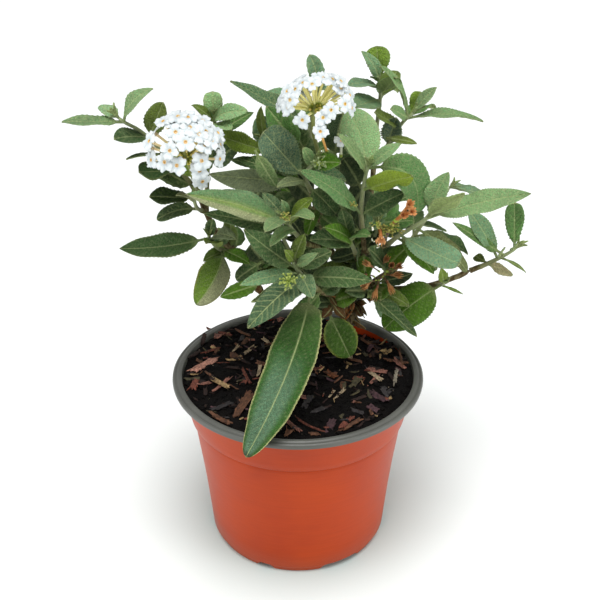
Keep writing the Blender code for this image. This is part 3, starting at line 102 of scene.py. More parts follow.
def applyModifier(piece, kind, **values):
    makeActive(piece)
    modifier = piece.modifiers.new(kind.lower(), kind)
    for name, value in values.items():
        setattr(modifier, name, value)
    bpy.ops.object.modifier_apply(modifier=modifier.name)


def editAll(piece):  # into edit mode with everything selected
    makeActive(piece)
    bpy.ops.object.mode_set(mode="EDIT")
    bpy.ops.mesh.select_all(action="SELECT")


def leaveEdit():
    bpy.ops.object.mode_set(mode="OBJECT")


def faceOutwards(piece):
    editAll(piece)
    bpy.ops.mesh.normals_make_consistent(inside=False)
    leaveEdit()


def copyOf(unit):
    made = unit.copy()
    made.data = unit.data.copy()
    bpy.context.scene.collection.objects.link(made)
    return made


def joined(pieces, name):
    bpy.ops.object.select_all(action="DESELECT")
    for piece in pieces:
        piece.select_set(True)
    bpy.context.view_layer.objects.active = pieces[0]
    if len(pieces) > 1:
        bpy.ops.object.join()
    made = bpy.context.view_layer.objects.active
    made.name = name
    made.data.name = name
    made.data.shade_smooth()
    return made


def spotsOf(piece):
    spots = np.empty(len(piece.data.vertices) * 3)
    piece.data.vertices.foreach_get("co", spots)
    return spots.reshape(-1, 3)


def writeSpots(piece, spots):  # millimetres in, metres in the frame out
    piece.data.vertices.foreach_set("co", (spots * mm + np.array(potAxis)).ravel())
    piece.data.update()


def writeColour(piece, name, colours):
    layer = piece.data.attributes.get(name) or piece.data.attributes.new(name, "FLOAT_COLOR", "POINT")
    full = np.ones((len(piece.data.vertices), 4))
    full[:, :3] = colours
    layer.data.foreach_set("color", full.ravel())


def removeAll(pieces):
    for piece in pieces:
        bpy.data.objects.remove(piece)


def finishPiece(piece, slotName, *nodes):
    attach(piece, "root")
    if nodes:
        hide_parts(*nodes)
    return piece


# Node groups: effects that more than one material uses.

def newGroup(name, inputs, outputs):
    group = bpy.data.node_groups.new(name, "ShaderNodeTree")
    for label, value in inputs.items():
        socket = group.interface.new_socket(name=label, in_out="INPUT", socket_type="NodeSocketFloat")
        socket.default_value = value
    for label in outputs:
        group.interface.new_socket(name=label, in_out="OUTPUT", socket_type="NodeSocketFloat")
    return group, group.nodes.new("NodeGroupInput"), group.nodes.new("NodeGroupOutput")


def newNode(tree, kind, inputs, **settings):  # an input takes a number, a colour or another node's output
    node = tree.nodes.new("ShaderNode" + kind)
    for name, value in settings.items():
        setattr(node, name, value)
    for label, value in inputs.items():
        if isinstance(value, (int, float)):
            node.inputs[label].default_value = value
        elif isinstance(value, tuple):
            node.inputs[label].default_value = (*value, 1)
        else:
            tree.links.new(value, node.inputs[label])
    return node


def mathNode(tree, operation, *values):
    return newNode(tree, "Math", dict(enumerate(values)), operation=operation).outputs[0]


def times(tree, first, second):
    return mathNode(tree, "MULTIPLY", first, second)


def rangeNode(tree, *values):  # the value, from low and high, to low and high
    return newNode(tree, "MapRange", dict(enumerate(values))).outputs[0]


def fromUnit(tree, value, low, high):  # from between 0 and 1
    return rangeNode(tree, value, 0.0, 1.0, low, high)


def fromNoise(tree, value, low, high):  # from the middle of a noise's values
    return rangeNode(tree, value, 0.3, 0.7, low, high)


def objectSpots(tree, stretch=(1, 1, 1)):
    place = newNode(tree, "TexCoord", {})
    mapping = newNode(tree, "Mapping", {"Vector": place.outputs["Object"]})
    mapping.inputs["Scale"].default_value = stretch
    return mapping.outputs["Vector"]


def noiseNode(tree, spots, scale, detail=3.0, rough=0.55):
    inputs = {"Vector": spots, "Scale": scale, "Detail": detail, "Roughness": rough}
    return newNode(tree, "TexNoise", inputs).outputs["Fac"]


def buildPebble():  # small raised cushions between fine sunk lines, as on a wrinkled leaf
    group, given, result = newGroup("pebble", {"Cells": 900.0, "Line": 0.12}, ("Net", "Height"))
    spots = objectSpots(group)
    wobble = newNode(group, "TexNoise", {"Vector": spots, "Scale": 700, "Detail": 1})
    shift = newNode(group, "VectorMath", {0: wobble.outputs["Color"], 2: spots}, operation="MULTIPLY_ADD")
    shift.inputs[1].default_value = (0.0009, 0.0009, 0.0009)
    cells = newNode(group, "TexVoronoi", {"Vector": shift.outputs[0], "Scale": given.outputs["Cells"]},
                    feature="DISTANCE_TO_EDGE").outputs["Distance"]
    edge = mathNode(group, "DIVIDE", cells, given.outputs["Line"])
    net = mathNode(group, "SUBTRACT", 1.0, mathNode(group, "MINIMUM", edge, 1.0))
    group.links.new(net, result.inputs["Net"])
    group.links.new(mathNode(group, "MINIMUM", times(group, cells, 3.0), 1.0), result.inputs["Height"])
    return group


def buildGrain():  # cloudy and fine variation together
    group, given, result = newGroup("grain", {"Broad": 60.0, "Fine": 2500.0}, ("Cloud", "Grain"))
    for scale, detail, name in (("Broad", 3.0, "Cloud"), ("Fine", 2.0, "Grain")):
        field = noiseNode(group, objectSpots(group), given.outputs[scale], detail)
        group.links.new(fromNoise(group, field, 0.0, 1.0), result.inputs[name])
    return group


def buildSpeckle():  # sparse small spots
    group, given, result = newGroup("speckle", {"Cells": 300.0, "Size": 0.12, "Share": 0.15}, ("Spots",))
    cells = newNode(group, "TexVoronoi", {"Vector": objectSpots(group), "Scale": given.outputs["Cells"]})
    near = mathNode(group, "LESS_THAN", cells.outputs["Distance"], given.outputs["Size"])
    pick = newNode(group, "SeparateColor", {0: cells.outputs["Color"]})
    chosen = mathNode(group, "LESS_THAN", pick.outputs[0], given.outputs["Share"])
    group.links.new(times(group, near, chosen), result.inputs["Spots"])
    return group


groups = {"pebble": buildPebble(), "grain": buildGrain(), "speckle": buildSpeckle()}


def useGroup(tree, name, **values):
    node = tree.nodes.new("ShaderNodeGroup")
    node.node_tree = groups[name]
    for label, value in values.items():
        node.inputs[label].default_value = value
    return node.outputs


def newMaterial(name, **sockets):
    material = bpy.data.materials.new(name)
    material.use_nodes = True
    shader = material.node_tree.nodes["Principled BSDF"]
    for label, value in sockets.items():
        shader.inputs[label.replace("_", " ")].default_value = value
    return material, material.node_tree, shader


def mixColour(tree, share, first, second, blend="MIX"):
    inputs = {0: share, 6: first, 7: second}
    return newNode(tree, "Mix", inputs, data_type="RGBA", blend_type=blend).outputs[2]


def shaded(tree, colour, shade):
    return mixColour(tree, 1.0, colour, shade, "MULTIPLY")


def attributeColour(tree, name):
    return newNode(tree, "Attribute", {}, attribute_name=name).outputs["Color"]


def feedShader(tree, shader, colour, roughness):
    tree.links.new(colour, shader.inputs["Base Color"])
    tree.links.new(roughness, shader.inputs["Roughness"])


def addBump(tree, shader, height, strength, distance, under=None):
    inputs = {"Strength": strength, "Distance": distance, "Height": height}
    if under:
        inputs["Normal"] = under
    normal = newNode(tree, "Bump", inputs).outputs["Normal"]
    tree.links.new(normal, shader.inputs["Normal"])
    return normal


# Materials

leafLook = {"net": 0.55, "felt": tone(184, 208, 164), "vein": tone(186, 198, 138), "cells": 820.0,
            "brightest": 1.18, "fuzz": 0.26}


def buildLeafBlade():  # colour from the leaf's own tint, with veins, net and felt over it
    material, tree, shader = newMaterial("leafBlade", Specular_IOR_Level=0.18)
    traits = newNode(tree, "SeparateColor", {0: attributeColour(tree, "traits")})
    veins, felt, gloss = traits.outputs[:3]
    pebble = useGroup(tree, "pebble", Cells=leafLook["cells"], Line=0.16)
    grain = useGroup(tree, "grain", Broad=90.0, Fine=3200.0)
    blotch = useGroup(tree, "grain", Broad=700.0, Fine=1300.0)
    rough = mathNode(tree, "MULTIPLY_ADD", felt, 0.62, 0.34)  # felted leaves are the most wrinkled, so their cushions get the strongest painted shade
    # The cushions are painted lighter and the sunk lines between them darker, painted shade on the fine
    # relief that the bump also makes; random mottling and flecks go over it.
    cell = mathNode(tree, "SUBTRACT", mathNode(tree, "MINIMUM", pebble["Height"], 0.8), 0.5)
    height = mathNode(tree, "MULTIPLY_ADD", cell, rough, 1.0)
    patch = mathNode(tree, "SUBTRACT", blotch["Cloud"], 0.5)
    mottle = mathNode(tree, "MULTIPLY_ADD", patch, mathNode(tree, "MULTIPLY_ADD", felt, 0.14, 0.30), 1.0)
    flecks = fromUnit(tree, blotch["Grain"], 0.70, 1.2)
    broad = times(tree, height, fromUnit(tree, grain["Cloud"], 0.86, 1.12))
    shade = mathNode(tree, "MINIMUM", times(tree, broad, times(tree, mottle, flecks)), leafLook["brightest"])
    colour = shaded(tree, attributeColour(tree, "tint"), shade)
    net = times(tree, times(tree, pebble["Net"], felt), leafLook["net"])
    colour = mixColour(tree, net, colour, leafLook["vein"])
    fuzz = times(tree, times(tree, grain["Grain"], felt), leafLook["fuzz"])
    colour = mixColour(tree, fuzz, colour, leafLook["felt"])
    broken = times(tree, veins, fromUnit(tree, grain["Grain"], 0.55, 1.2))
    colour = mixColour(tree, broken, colour, leafLook["vein"])
    dull = mathNode(tree, "SUBTRACT", 0.74, times(tree, gloss, 0.42))
    feedShader(tree, shader, colour, mathNode(tree, "ADD", dull, times(tree, grain["Grain"], 0.08)))
    cushions = addBump(tree, shader, pebble["Height"], 0.7, 0.0006)
    addBump(tree, shader, grain["Grain"], 0.35, 0.0002, cushions)
    return material


def buildTintedSkin(name, roughness, stretch, fine, lift, **sockets):  # stems, tubes and petals
    material, tree, shader = newMaterial(name, **sockets)
    streak = noiseNode(tree, objectSpots(tree, stretch), fine)
    shade = fromNoise(tree, streak, 1 - lift, 1 + lift)
    feedShader(tree, shader, shaded(tree, attributeColour(tree, "tint"), shade),
               fromNoise(tree, streak, roughness - 0.08, roughness + 0.08))
    addBump(tree, shader, streak, 0.4, 0.0002)
    return material


def buildWood():  # peeling beige-grey bark over brown, split along the branch
    material, tree, shader = newMaterial("woodyStem", Specular_IOR_Level=0.3)
    tint = attributeColour(tree, "tint")
    flake = noiseNode(tree, objectSpots(tree, (1, 1, 0.35)), 420.0, 4.0, 0.65)
    fine = noiseNode(tree, objectSpots(tree, (1, 1, 0.2)), 1800.0)
    peel = rangeNode(tree, flake, 0.46, 0.56, 0.0, 1.0)
    bark = mixColour(tree, peel, shaded(tree, tint, (0.42, 0.34, 0.26)), tint)
    feedShader(tree, shader, shaded(tree, bark, fromNoise(tree, fine, 0.7, 1.25)),
               fromNoise(tree, fine, 0.75, 0.95))
    broad = addBump(tree, shader, peel, 0.5, 0.0004)
    addBump(tree, shader, fine, 0.5, 0.0003, broad)
    return material


# Inside the hidden radius, in metres, the underside is painted dark: painted shade under the pot, seen
# through the gaps in its foot.
potLook = {"orange": tone(175, 60, 7), "deep": tone(163, 52, 5), "dust": tone(196, 112, 74),
           "paintedUnderShade": tone(46, 42, 34), "hidden": 0.0463}


def axisRadius(tree):  # how far a point lies from the pot's axis
    place = newNode(tree, "SeparateXYZ", {0: objectSpots(tree)})
    squares = []
    for label, middle in (("X", potAxis.x), ("Y", potAxis.y)):
        offset = mathNode(tree, "SUBTRACT", place.outputs[label], middle)
        squares.append(times(tree, offset, offset))
    return mathNode(tree, "SQRT", mathNode(tree, "ADD", *squares))


def buildPlastic():  # satin moulded plastic with faint clouding, dust and small scuffs
    material, tree, shader = newMaterial("terracottaPlastic", Specular_IOR_Level=0.2)
    grain = useGroup(tree, "grain", Broad=26.0, Fine=1500.0)
    marks = useGroup(tree, "speckle", Cells=90.0, Size=0.045, Share=0.10)
    rings = noiseNode(tree, objectSpots(tree, (0.06, 0.06, 1)), 900.0, 2.0)
    base = mixColour(tree, grain["Cloud"], potLook["deep"], potLook["orange"])
    base = shaded(tree, base, fromNoise(tree, rings, 0.96, 1.04))
    base = mixColour(tree, times(tree, marks["Spots"], 0.55), base, potLook["dust"])
    height = newNode(tree, "SeparateXYZ", {0: objectSpots(tree)}).outputs["Z"]
    dusty = rangeNode(tree, height, 0.0, 0.012, 0.30, 0.0)
    base = mixColour(tree, times(tree, dusty, grain["Grain"]), base, potLook["dust"])
    # Painted shade: low down inside the foot the plastic is painted dark, for the shadow under the pot.
    inside = mathNode(tree, "LESS_THAN", axisRadius(tree), potLook["hidden"])
    low = mathNode(tree, "LESS_THAN", height, 0.006)
    base = mixColour(tree, times(tree, inside, low), base, potLook["paintedUnderShade"])
    feedShader(tree, shader, base, fromUnit(tree, grain["Cloud"], 0.34, 0.46))
    broad = addBump(tree, shader, rings, 0.10, 0.0002)
    addBump(tree, shader, grain["Grain"], 0.12, 0.0001, broad)
    return material


# Two materials are clouded between two tones and carry sparse spots of a third.
clouded = {
    "greyLip": {"specular": 0.4, "grain": (45.0, 1900.0), "spots": (160.0, 0.10, 0.10), "share": 0.35,
                "tones": (tone(78, 79, 74), tone(90, 91, 86), tone(70, 62, 50)),
                "roughness": (0.33, 0.45), "bump": (0.15, 0.0001)},
    "pottingSoil": {"specular": 0.12, "grain": (160.0, 1400.0), "spots": (420.0, 0.16, 0.05), "share": 0.8,
                    "tones": (tone(3, 2, 2), tone(16, 12, 10), tone(150, 135, 115)),
                    "roughness": (0.6, 0.95), "bump": (0.9, 0.0006)},
}


def buildClouded(name):
    look = clouded[name]
    material, tree, shader = newMaterial(name, Specular_IOR_Level=look["specular"])
    grain = useGroup(tree, "grain", **dict(zip(("Broad", "Fine"), look["grain"])))
    marks = useGroup(tree, "speckle", **dict(zip(("Cells", "Size", "Share"), look["spots"])))
    low, high, spot = look["tones"]
    base = mixColour(tree, grain["Cloud"], low, high)
    base = mixColour(tree, times(tree, marks["Spots"], look["share"]), base, spot)
    feedShader(tree, shader, base, fromUnit(tree, grain["Grain"], *look["roughness"]))
    addBump(tree, shader, grain["Grain"], *look["bump"])
    return material


def buildBark():  # dry bark flakes: the flake's tint with dark cracks along its grain
    material, tree, shader = newMaterial("barkFlake", Specular_IOR_Level=0.3)
    crack = noiseNode(tree, objectSpots(tree, (1, 0.5, 1)), 900.0, 4.0, 0.7)
    cloud = useGroup(tree, "grain", Broad=220.0, Fine=2600.0)
    cracked = rangeNode(tree, crack, 0.36, 0.62, 0.45, 1.25)
    shade = times(tree, cracked, fromUnit(tree, cloud["Cloud"], 0.75, 1.15))
    feedShader(tree, shader, shaded(tree, attributeColour(tree, "tint"), shade),
               fromNoise(tree, crack, 0.7, 0.95))
    addBump(tree, shader, crack, 0.8, 0.0006)
    return material


def buildFloor():  # with a soft painted shadow round the pot's foot
    material, tree, shader = newMaterial("paleFloor", Roughness=0.85, Specular_IOR_Level=0.2)
    grain = useGroup(tree, "grain", Broad=3.0, Fine=400.0)
    base = mixColour(tree, grain["Cloud"], (0.87, 0.90, 0.89), (0.89, 0.92, 0.91))
    # Painted shadow: towards the foot the floor is painted grey-green.
    near = rangeNode(tree, axisRadius(tree), 0.044, 0.160, 1.0, 0.0)
    shade = times(tree, times(tree, near, near), 0.52)
    tree.links.new(mixColour(tree, shade, base, (0.20, 0.36, 0.32)), shader.inputs["Base Color"])
    return material


leafBlade = buildLeafBlade()
greenStem = buildTintedSkin("greenStem", 0.7, (1, 1, 0.4), 1500.0, 0.22, Sheen_Weight=0.2)
petalSkin = buildTintedSkin("petalSkin", 0.5, (1, 1, 1), 1400.0, 0.05, Sheen_Weight=0.1)
tubeSkin = buildTintedSkin("tubeSkin", 0.5, (1, 1, 1), 1600.0, 0.08)
woodyStem = buildWood()
plastic = buildPlastic()
greyLip = buildClouded("greyLip")
earth = buildClouded("pottingSoil")
barkFlake = buildBark()
paleFloor = buildFloor()
print("materials made")

# Camera, floor and light

studio = {
    "lens": 64.158, "world": 0.41, "floor": 8.0, "sun": 2.75, "sunSpread": 42.0, "sunTips": (17, -2, 0),
    "lampSize": 0.5, "lampAim": (0, 0, 120),
    "lamps": {"sideLight": ((800, -420, 300), 3.0), "backLight": ((-800, -330, 300), 2.0)},
}


def addCamera():
    bpy.ops.object.camera_add(location=inFrame(view["point"]),
                              rotation=(math.pi / 2 - view["tip"], 0, 0))
    camera = newest()
    camera.data.lens = studio["lens"]
    camera.data.sensor_width = 36
    camera.data.clip_start = 0.01
    bpy.context.scene.camera = camera


def addLamp(name, place, energy):
    bpy.ops.object.light_add(type="AREA", location=inFrame(place))
    lamp = newest()
    lamp.name = name
    lamp.data.size = studio["lampSize"]
    lamp.data.energy = energy
    lamp.rotation_euler = (inFrame(place) - inFrame(studio["lampAim"])).to_track_quat("Z", "Y").to_euler()


def addStudio():
    bpy.ops.mesh.primitive_plane_add(size=studio["floor"])
    floor = newest()
    floor.name = "floor"
    floor.data.materials.append(paleFloor)
    world = bpy.data.worlds.new("studio")
    world.use_nodes = True
    world.node_tree.nodes["Background"].inputs["Color"].default_value = (1, 1, 1, 1)
    world.node_tree.nodes["Background"].inputs["Strength"].default_value = studio["world"]
    bpy.context.scene.world = world
    bpy.context.scene.view_settings.view_transform = "Standard"
    bpy.ops.object.light_add(type="SUN", rotation=[math.radians(tip) for tip in studio["sunTips"]])
    sun = newest()
    sun.name = "overheadLight"
    sun.data.energy = studio["sun"]
    sun.data.angle = math.radians(studio["sunSpread"])
    for name, (place, energy) in studio["lamps"].items():
        addLamp(name, place, energy)


addCamera()
addStudio()
print("camera, floor and light made")

# Pot

potPlan = {
    "sides": 160, "lipFrom": 100.8,
    "notchTurns": (-112.0, -60.5, -0.5, 59.5, 119.5, 179.5), "notchWidths": (7.0, 21, 21, 21, 21, 21),
    "notchReach": (40.7, 54.7), "notchHeight": 4.2, "notchFlare": (3.2, -1.5), "drainRadius": 4.0,
    "drainRing": 34.0, "sharp": 38,
    # radius and height, up the outside, over the lip and down the inside, then the raised floor
    "outline": ((48.2, 0.0), (48.7, 0.3), (49.9, 3.6), (50.6, 4.0), (50.9, 4.5), (51.9, 16), (53.6, 34),
                (55.4, 50), (57.0, 62), (58.3, 72), (58.9, 76.6), (59.0, 78.2), (58.9, 79.0), (59.3, 79.5),
                (60.3, 79.9), (60.8, 80.6), (61.6, 84), (63.2, 90), (64.6, 95.5), (65.6, 98.6),
                (66.0, 100.4), (67.0, 101.0), (69.2, 101.1), (69.8, 101.4), (70.0, 102.2), (69.9, 103.2),
                (69.4, 103.9), (68.8, 104.1), (68.2, 103.8), (67.7, 103.9), (67.2, 104.5), (66.4, 104.7),
                (65.4, 104.6), (64.8, 104.2), (64.5, 103.2), (64.2, 100.6), (63.2, 95.5), (60.6, 86),
                (59.0, 80.6), (57.4, 77.5), (53.6, 50), (50.6, 20), (49.2, 8.4), (48.4, 6.8), (47.0, 6.5)),
    "underside": ((0, 5.0), (43.0, 5.0), (44.6, 4.6), (45.2, 3.6), (45.6, 0.3), (46.0, 0.0)),
}


def addNotch(turn, width):  # a wedge that cuts one gap in the foot, wider at the floor
    bpy.ops.mesh.primitive_cube_add(size=1)
    wedge = newest()
    spots = spotsOf(wedge)
    low = spots[:, 2] < 0
    half = width / 2 + np.where(low, *potPlan["notchFlare"])
    out = np.where(spots[:, 0] < 0, *potPlan["notchReach"])
    side = np.sign(spots[:, 1]) * half
    height = np.where(low, -1.0, potPlan["notchHeight"])
    writeSpots(wedge, np.column_stack((out * math.cos(turn) - side * math.sin(turn),
                                       out * math.sin(turn) + side * math.cos(turn), height)))
    return wedge


def addDrain(turn):
    ring = potPlan["drainRing"]
    place = inFrame((ring * math.cos(turn), ring * math.sin(turn), 6))
    bpy.ops.mesh.primitive_cylinder_add(vertices=24, radius=potPlan["drainRadius"] * mm, depth=8 * mm,
                                        location=place)
    return newest()


def turnedShape(outline, sides):  # a closed outline of radius and height, turned about the pot's axis
    bpy.ops.mesh.primitive_circle_add(vertices=len(outline), radius=1)
    shape = newest()
    corners = [part for radius, height in outline for part in (radius, 0, height)]
    shape.data.vertices.foreach_set("co", corners)
    editAll(shape)
    bpy.ops.mesh.select_all(action="DESELECT")
    leaveEdit()
    for edge in shape.data.edges:  # the edge that lies on the axis goes
        edge.select = all(outline[corner][0] == 0 for corner in edge.vertices)
    bpy.ops.object.mode_set(mode="EDIT")
    bpy.ops.mesh.delete(type="EDGE")
    bpy.ops.mesh.select_all(action="SELECT")
    bpy.ops.mesh.spin(steps=sides, angle=2 * math.pi, center=(0, 0, 0), axis=(0, 0, 1))
    bpy.ops.mesh.select_all(action="SELECT")
    bpy.ops.mesh.remove_doubles(threshold=0.0001)
    bpy.ops.mesh.normals_make_consistent(inside=False)
    leaveEdit()
    return shape


def buildPot():
    pot = turnedShape(potPlan["outline"] + ((0, 6.5),) + potPlan["underside"], potPlan["sides"])
    writeSpots(pot, spotsOf(pot))
    pot.data.materials.append(plastic)
    pot.data.materials.append(greyLip)
    for face in pot.data.polygons:
        face.material_index = 1 if face.center.z > potPlan["lipFrom"] * mm else 0
    turns = [math.radians(degrees) for degrees in potPlan["notchTurns"]]
    for turn, width in zip(turns, potPlan["notchWidths"]):
        for cutter in (addNotch(turn, width), addDrain(turn)):
            applyModifier(pot, "BOOLEAN", operation="DIFFERENCE", object=cutter, solver="EXACT")
            bpy.data.objects.remove(cutter)
    pot = joined([pot], "nursery_pot")
    makeActive(pot)
    bpy.ops.object.shade_smooth_by_angle(angle=math.radians(potPlan["sharp"]))
    finishPiece(pot, "terracotta_plastic", "pot")


buildPot()
print("pot made")

# Soil, crumbs and bark

soilPlan = {
    "height": 102.2, "edge": 64.4, "rings": 64, "sides": 190, "floor": 6.8, "sink": 0.8, "sinkWidth": 3,
    "wallAt": (64.2, 100.6), "wallSlope": 0.2, "clear": 0.05,
    "crumbs": {"count": 1500, "reach": 63.0, "seed": 21, "small": (0.35, 0.9), "large": (0.9, 1.9)},
    "wall": ((62.0, 95.5), (57.7, 80.6), (55.9, 77.5), (49.0, 20.0), (47.9, 8.6), (46.8, 6.8)),
}


def soilSwell(x, y):  # the lie of the surface, which dips at the back right
    swell = 1.0 * math.sin(x * 0.11 + 1.0) * math.cos(y * 0.09) + 0.6 * math.sin(x * 0.23 - y * 0.17)
    return soilPlan["height"] + swell - 5.2 * math.exp(-((x - 38) ** 2 + (y - 50) ** 2) / 300)


def soilTop(x, y):  # with lumps of peat between a few and one millimetre wide
    lumps = noise.noise((x * 0.16, y * 0.16, 3.0)) * 1.1 + noise.noise((x * 0.42, y * 0.42, 9.0)) * 0.8
    return soilSwell(x, y) + lumps + noise.noise((x * 1.1, y * 1.1, 5.0)) * 0.45


def buildSoil():
    rings, edge = soilPlan["rings"], soilPlan["edge"]
    wallRadius, wallHeight = soilPlan["wallAt"]
    flat = 100.0  # the top's height before it is shaped
    top = [(edge * ring / rings, flat) for ring in range(rings + 1)]
    soil = turnedShape(tuple(top) + soilPlan["wall"] + ((0, soilPlan["floor"]),), soilPlan["sides"])
    spots = spotsOf(soil)
    for spot in spots:
        if spot[2] == flat:
            radius = math.hypot(spot[0], spot[1])
            rim = max(0.0, radius - edge + soilPlan["sinkWidth"])
            spot[2] = soilTop(spot[0], spot[1]) - soilPlan["sink"] * rim / soilPlan["sinkWidth"]
            drop = max(0.0, wallHeight - spot[2])  # keeps inside the wall where it dips
            room = wallRadius - drop * soilPlan["wallSlope"] - soilPlan["clear"]
            if radius > room:
                spot[:2] *= room / radius
    writeSpots(soil, spots)
    soil.data.materials.append(earth)
    finishPiece(joined([soil], "peat"), "potting_soil", "soil")


def buildCrumbs():
    bpy.ops.mesh.primitive_ico_sphere_add(subdivisions=1, radius=1)
    crumb = newest()
    crumb.data.materials.append(earth)
    plan = soilPlan["crumbs"]
    draw = random.Random(plan["seed"])
    unit = spotsOf(crumb)
    made = []
    for number in range(plan["count"]):
        radius = plan["reach"] * math.sqrt(draw.random())
        turn = draw.uniform(0, 2 * math.pi)
        x, y = radius * math.cos(turn), radius * math.sin(turn)
        # the share is drawn before the size
        size = draw.uniform(*(plan["small"] if draw.random() < 0.8 else plan["large"]))
        bumps = np.array([1 + 0.45 * noise.noise(Vector(spot) * 1.7 + Vector((number, 0, 0)))
                          for spot in unit])
        shape = unit * bumps[:, None] * np.array((size * draw.uniform(0.8, 1.5), size, size * 0.75))
        spin = Matrix.Rotation(draw.uniform(0, 6.28), 3, "Z")
        place = np.array((x, y, soilTop(x, y) + size * 0.2))
        copy = copyOf(crumb)
        writeSpots(copy, shape @ np.array(spin).T + place)
        made.append(copy)
    bpy.data.objects.remove(crumb)
    finishPiece(joined(made, "crumbs"), "potting_soil")


# Bark chips: colour, half width, tilt in degrees and how far they curl up, then the pixels at their ends.
chipTones = {
    "red": tone(112, 62, 48), "pink": tone(178, 128, 110), "straw": tone(168, 140, 98),
    "rust": tone(120, 70, 42), "beige": tone(190, 168, 136), "plum": tone(78, 54, 58),
    "grey": tone(134, 126, 110), "slate": tone(58, 54, 54), "brown": tone(104, 70, 50),
    "dark": tone(48, 32, 27), "olive": tone(74, 68, 48), "rose": tone(142, 96, 82),
}
chips = """
    pink 3.2 4 0, 187 374, 219 361; dark 1.8 50 0.4, 199 346, 208 342; rose 2.2 -10 0.3, 214 342, 221 335
    red 2.4 8 0.3, 191 390, 199 381; straw 1.9 10 1.3, 211 380, 231 396; rose 1.6 -8 1.1, 213 397, 229 380
    beige 1.4 6 1.9, 233 353, 240 347; beige 1.5 0 1.7, 244 356, 256 347; straw 0.9 0 0.8, 234 361, 246 354
    beige 1.4 14 0.6, 258 378, 261 368; brown 3 8 1.2, 233 421, 253 399; slate 1.8 0 0.2, 213 411, 231 404
    brown 1.7 -4 0.3, 212 417, 231 426; red 1.3 0 0.2, 203 353, 222 349; rose 1.5 4 0.6, 286 421, 302 436
    red 0.6 6 0, 294 419, 320 436; plum 2.4 0 0, 327 432, 334 420; red 2.2 -6 0, 339 432, 351 418
    brown 1.5 5 0, 341 431, 363 421; slate 2.4 0 0.2, 303 409, 311 396; beige 1.3 0 1.8, 328 400, 335 391
    beige 1.4 6 1.7, 336 399, 346 391; rose 2.3 0 0.3, 365 370, 390 374; brown 1.3 5 0.2, 383 360, 405 365
    rose 1.6 -6 0.2, 395 363, 407 370; beige 1.7 5 0.5, 371 373, 381 383; grey 1.3 18 0.9, 394 389, 397 373
    olive 2.4 0 0.2, 351 388, 360 378; rust 2.3 0 0.3, 327 373, 336 380; plum 2.6 4 0.2, 371 392, 385 404
    plum 2.4 -4 0.1, 369 406, 378 415; straw 0.5 5 0, 381 345, 392 337; brown 1 0 0.2, 362 341, 376 349
    dark 1.2 0 0.2, 352 402, 366 397; dark 1.6 -12 0.3, 190 362, 200 352; red 1.2 0 0.4, 206 330, 232 336
    brown 1.3 6 0.6, 238 332, 250 338; beige 1.5 12 0.9, 262 338, 268 347; dark 1.1 0 0.3, 222 366, 240 371
    red 1 4 0.2, 243 372, 251 388; beige 1 20 0.2, 347 356, 352 364; dark 1.2 0 0.2, 300 380, 318 388
    slate 1.6 0 0.1, 312 414, 326 408; slate 1.5 6 0.1, 352 410, 364 416; brown 0.8 10 0.2, 399 352, 402 372
    dark 1.2 -6 0.2, 388 376, 396 384
"""
backChips = {"count": 7, "seed": 8, "turns": (25, 130), "ring": (30, 52), "long": (4, 7), "wide": (1.5, 3),
             "tilts": (-15, 15), "tone": "brown"}
flakes = {"count": 240, "reach": 61.0, "long": (1.4, 4.6), "splinter": (0.25, 0.4), "tilts": (-28, 28),
          "curls": (0, 0.3, 0.8, 1.3), "tones": ("red", "plum", "brown", "dark", "dark", "slate", "rose",
                                                 "brown", "dark", "olive", "straw")}


def onSoil(across, down):  # the place on the soil that a pixel shows
    near, far = atPixel(across, down, 0), atPixel(across, down, 100)
    place = near
    for step in range(3):
        height = soilSwell(place.x, place.y)
        place = near + (far - near) * ((height - near.z) / (far.z - near.z))
    return place


def readChips():
    for row in chips.strip().splitlines():
        for chip in row.split(";"):
            look, start, end = chip.split(",")
            colour, sizes = look.split(maxsplit=1)
            yield colour, numbers(sizes), onSoil(*numbers(start)), onSoil(*numbers(end))


def between(first, second, share):  # from the first to the second as the share goes from -1 to 1
    return first * ((1 - share) / 2)[:, None] + second * ((1 + share) / 2)[:, None]


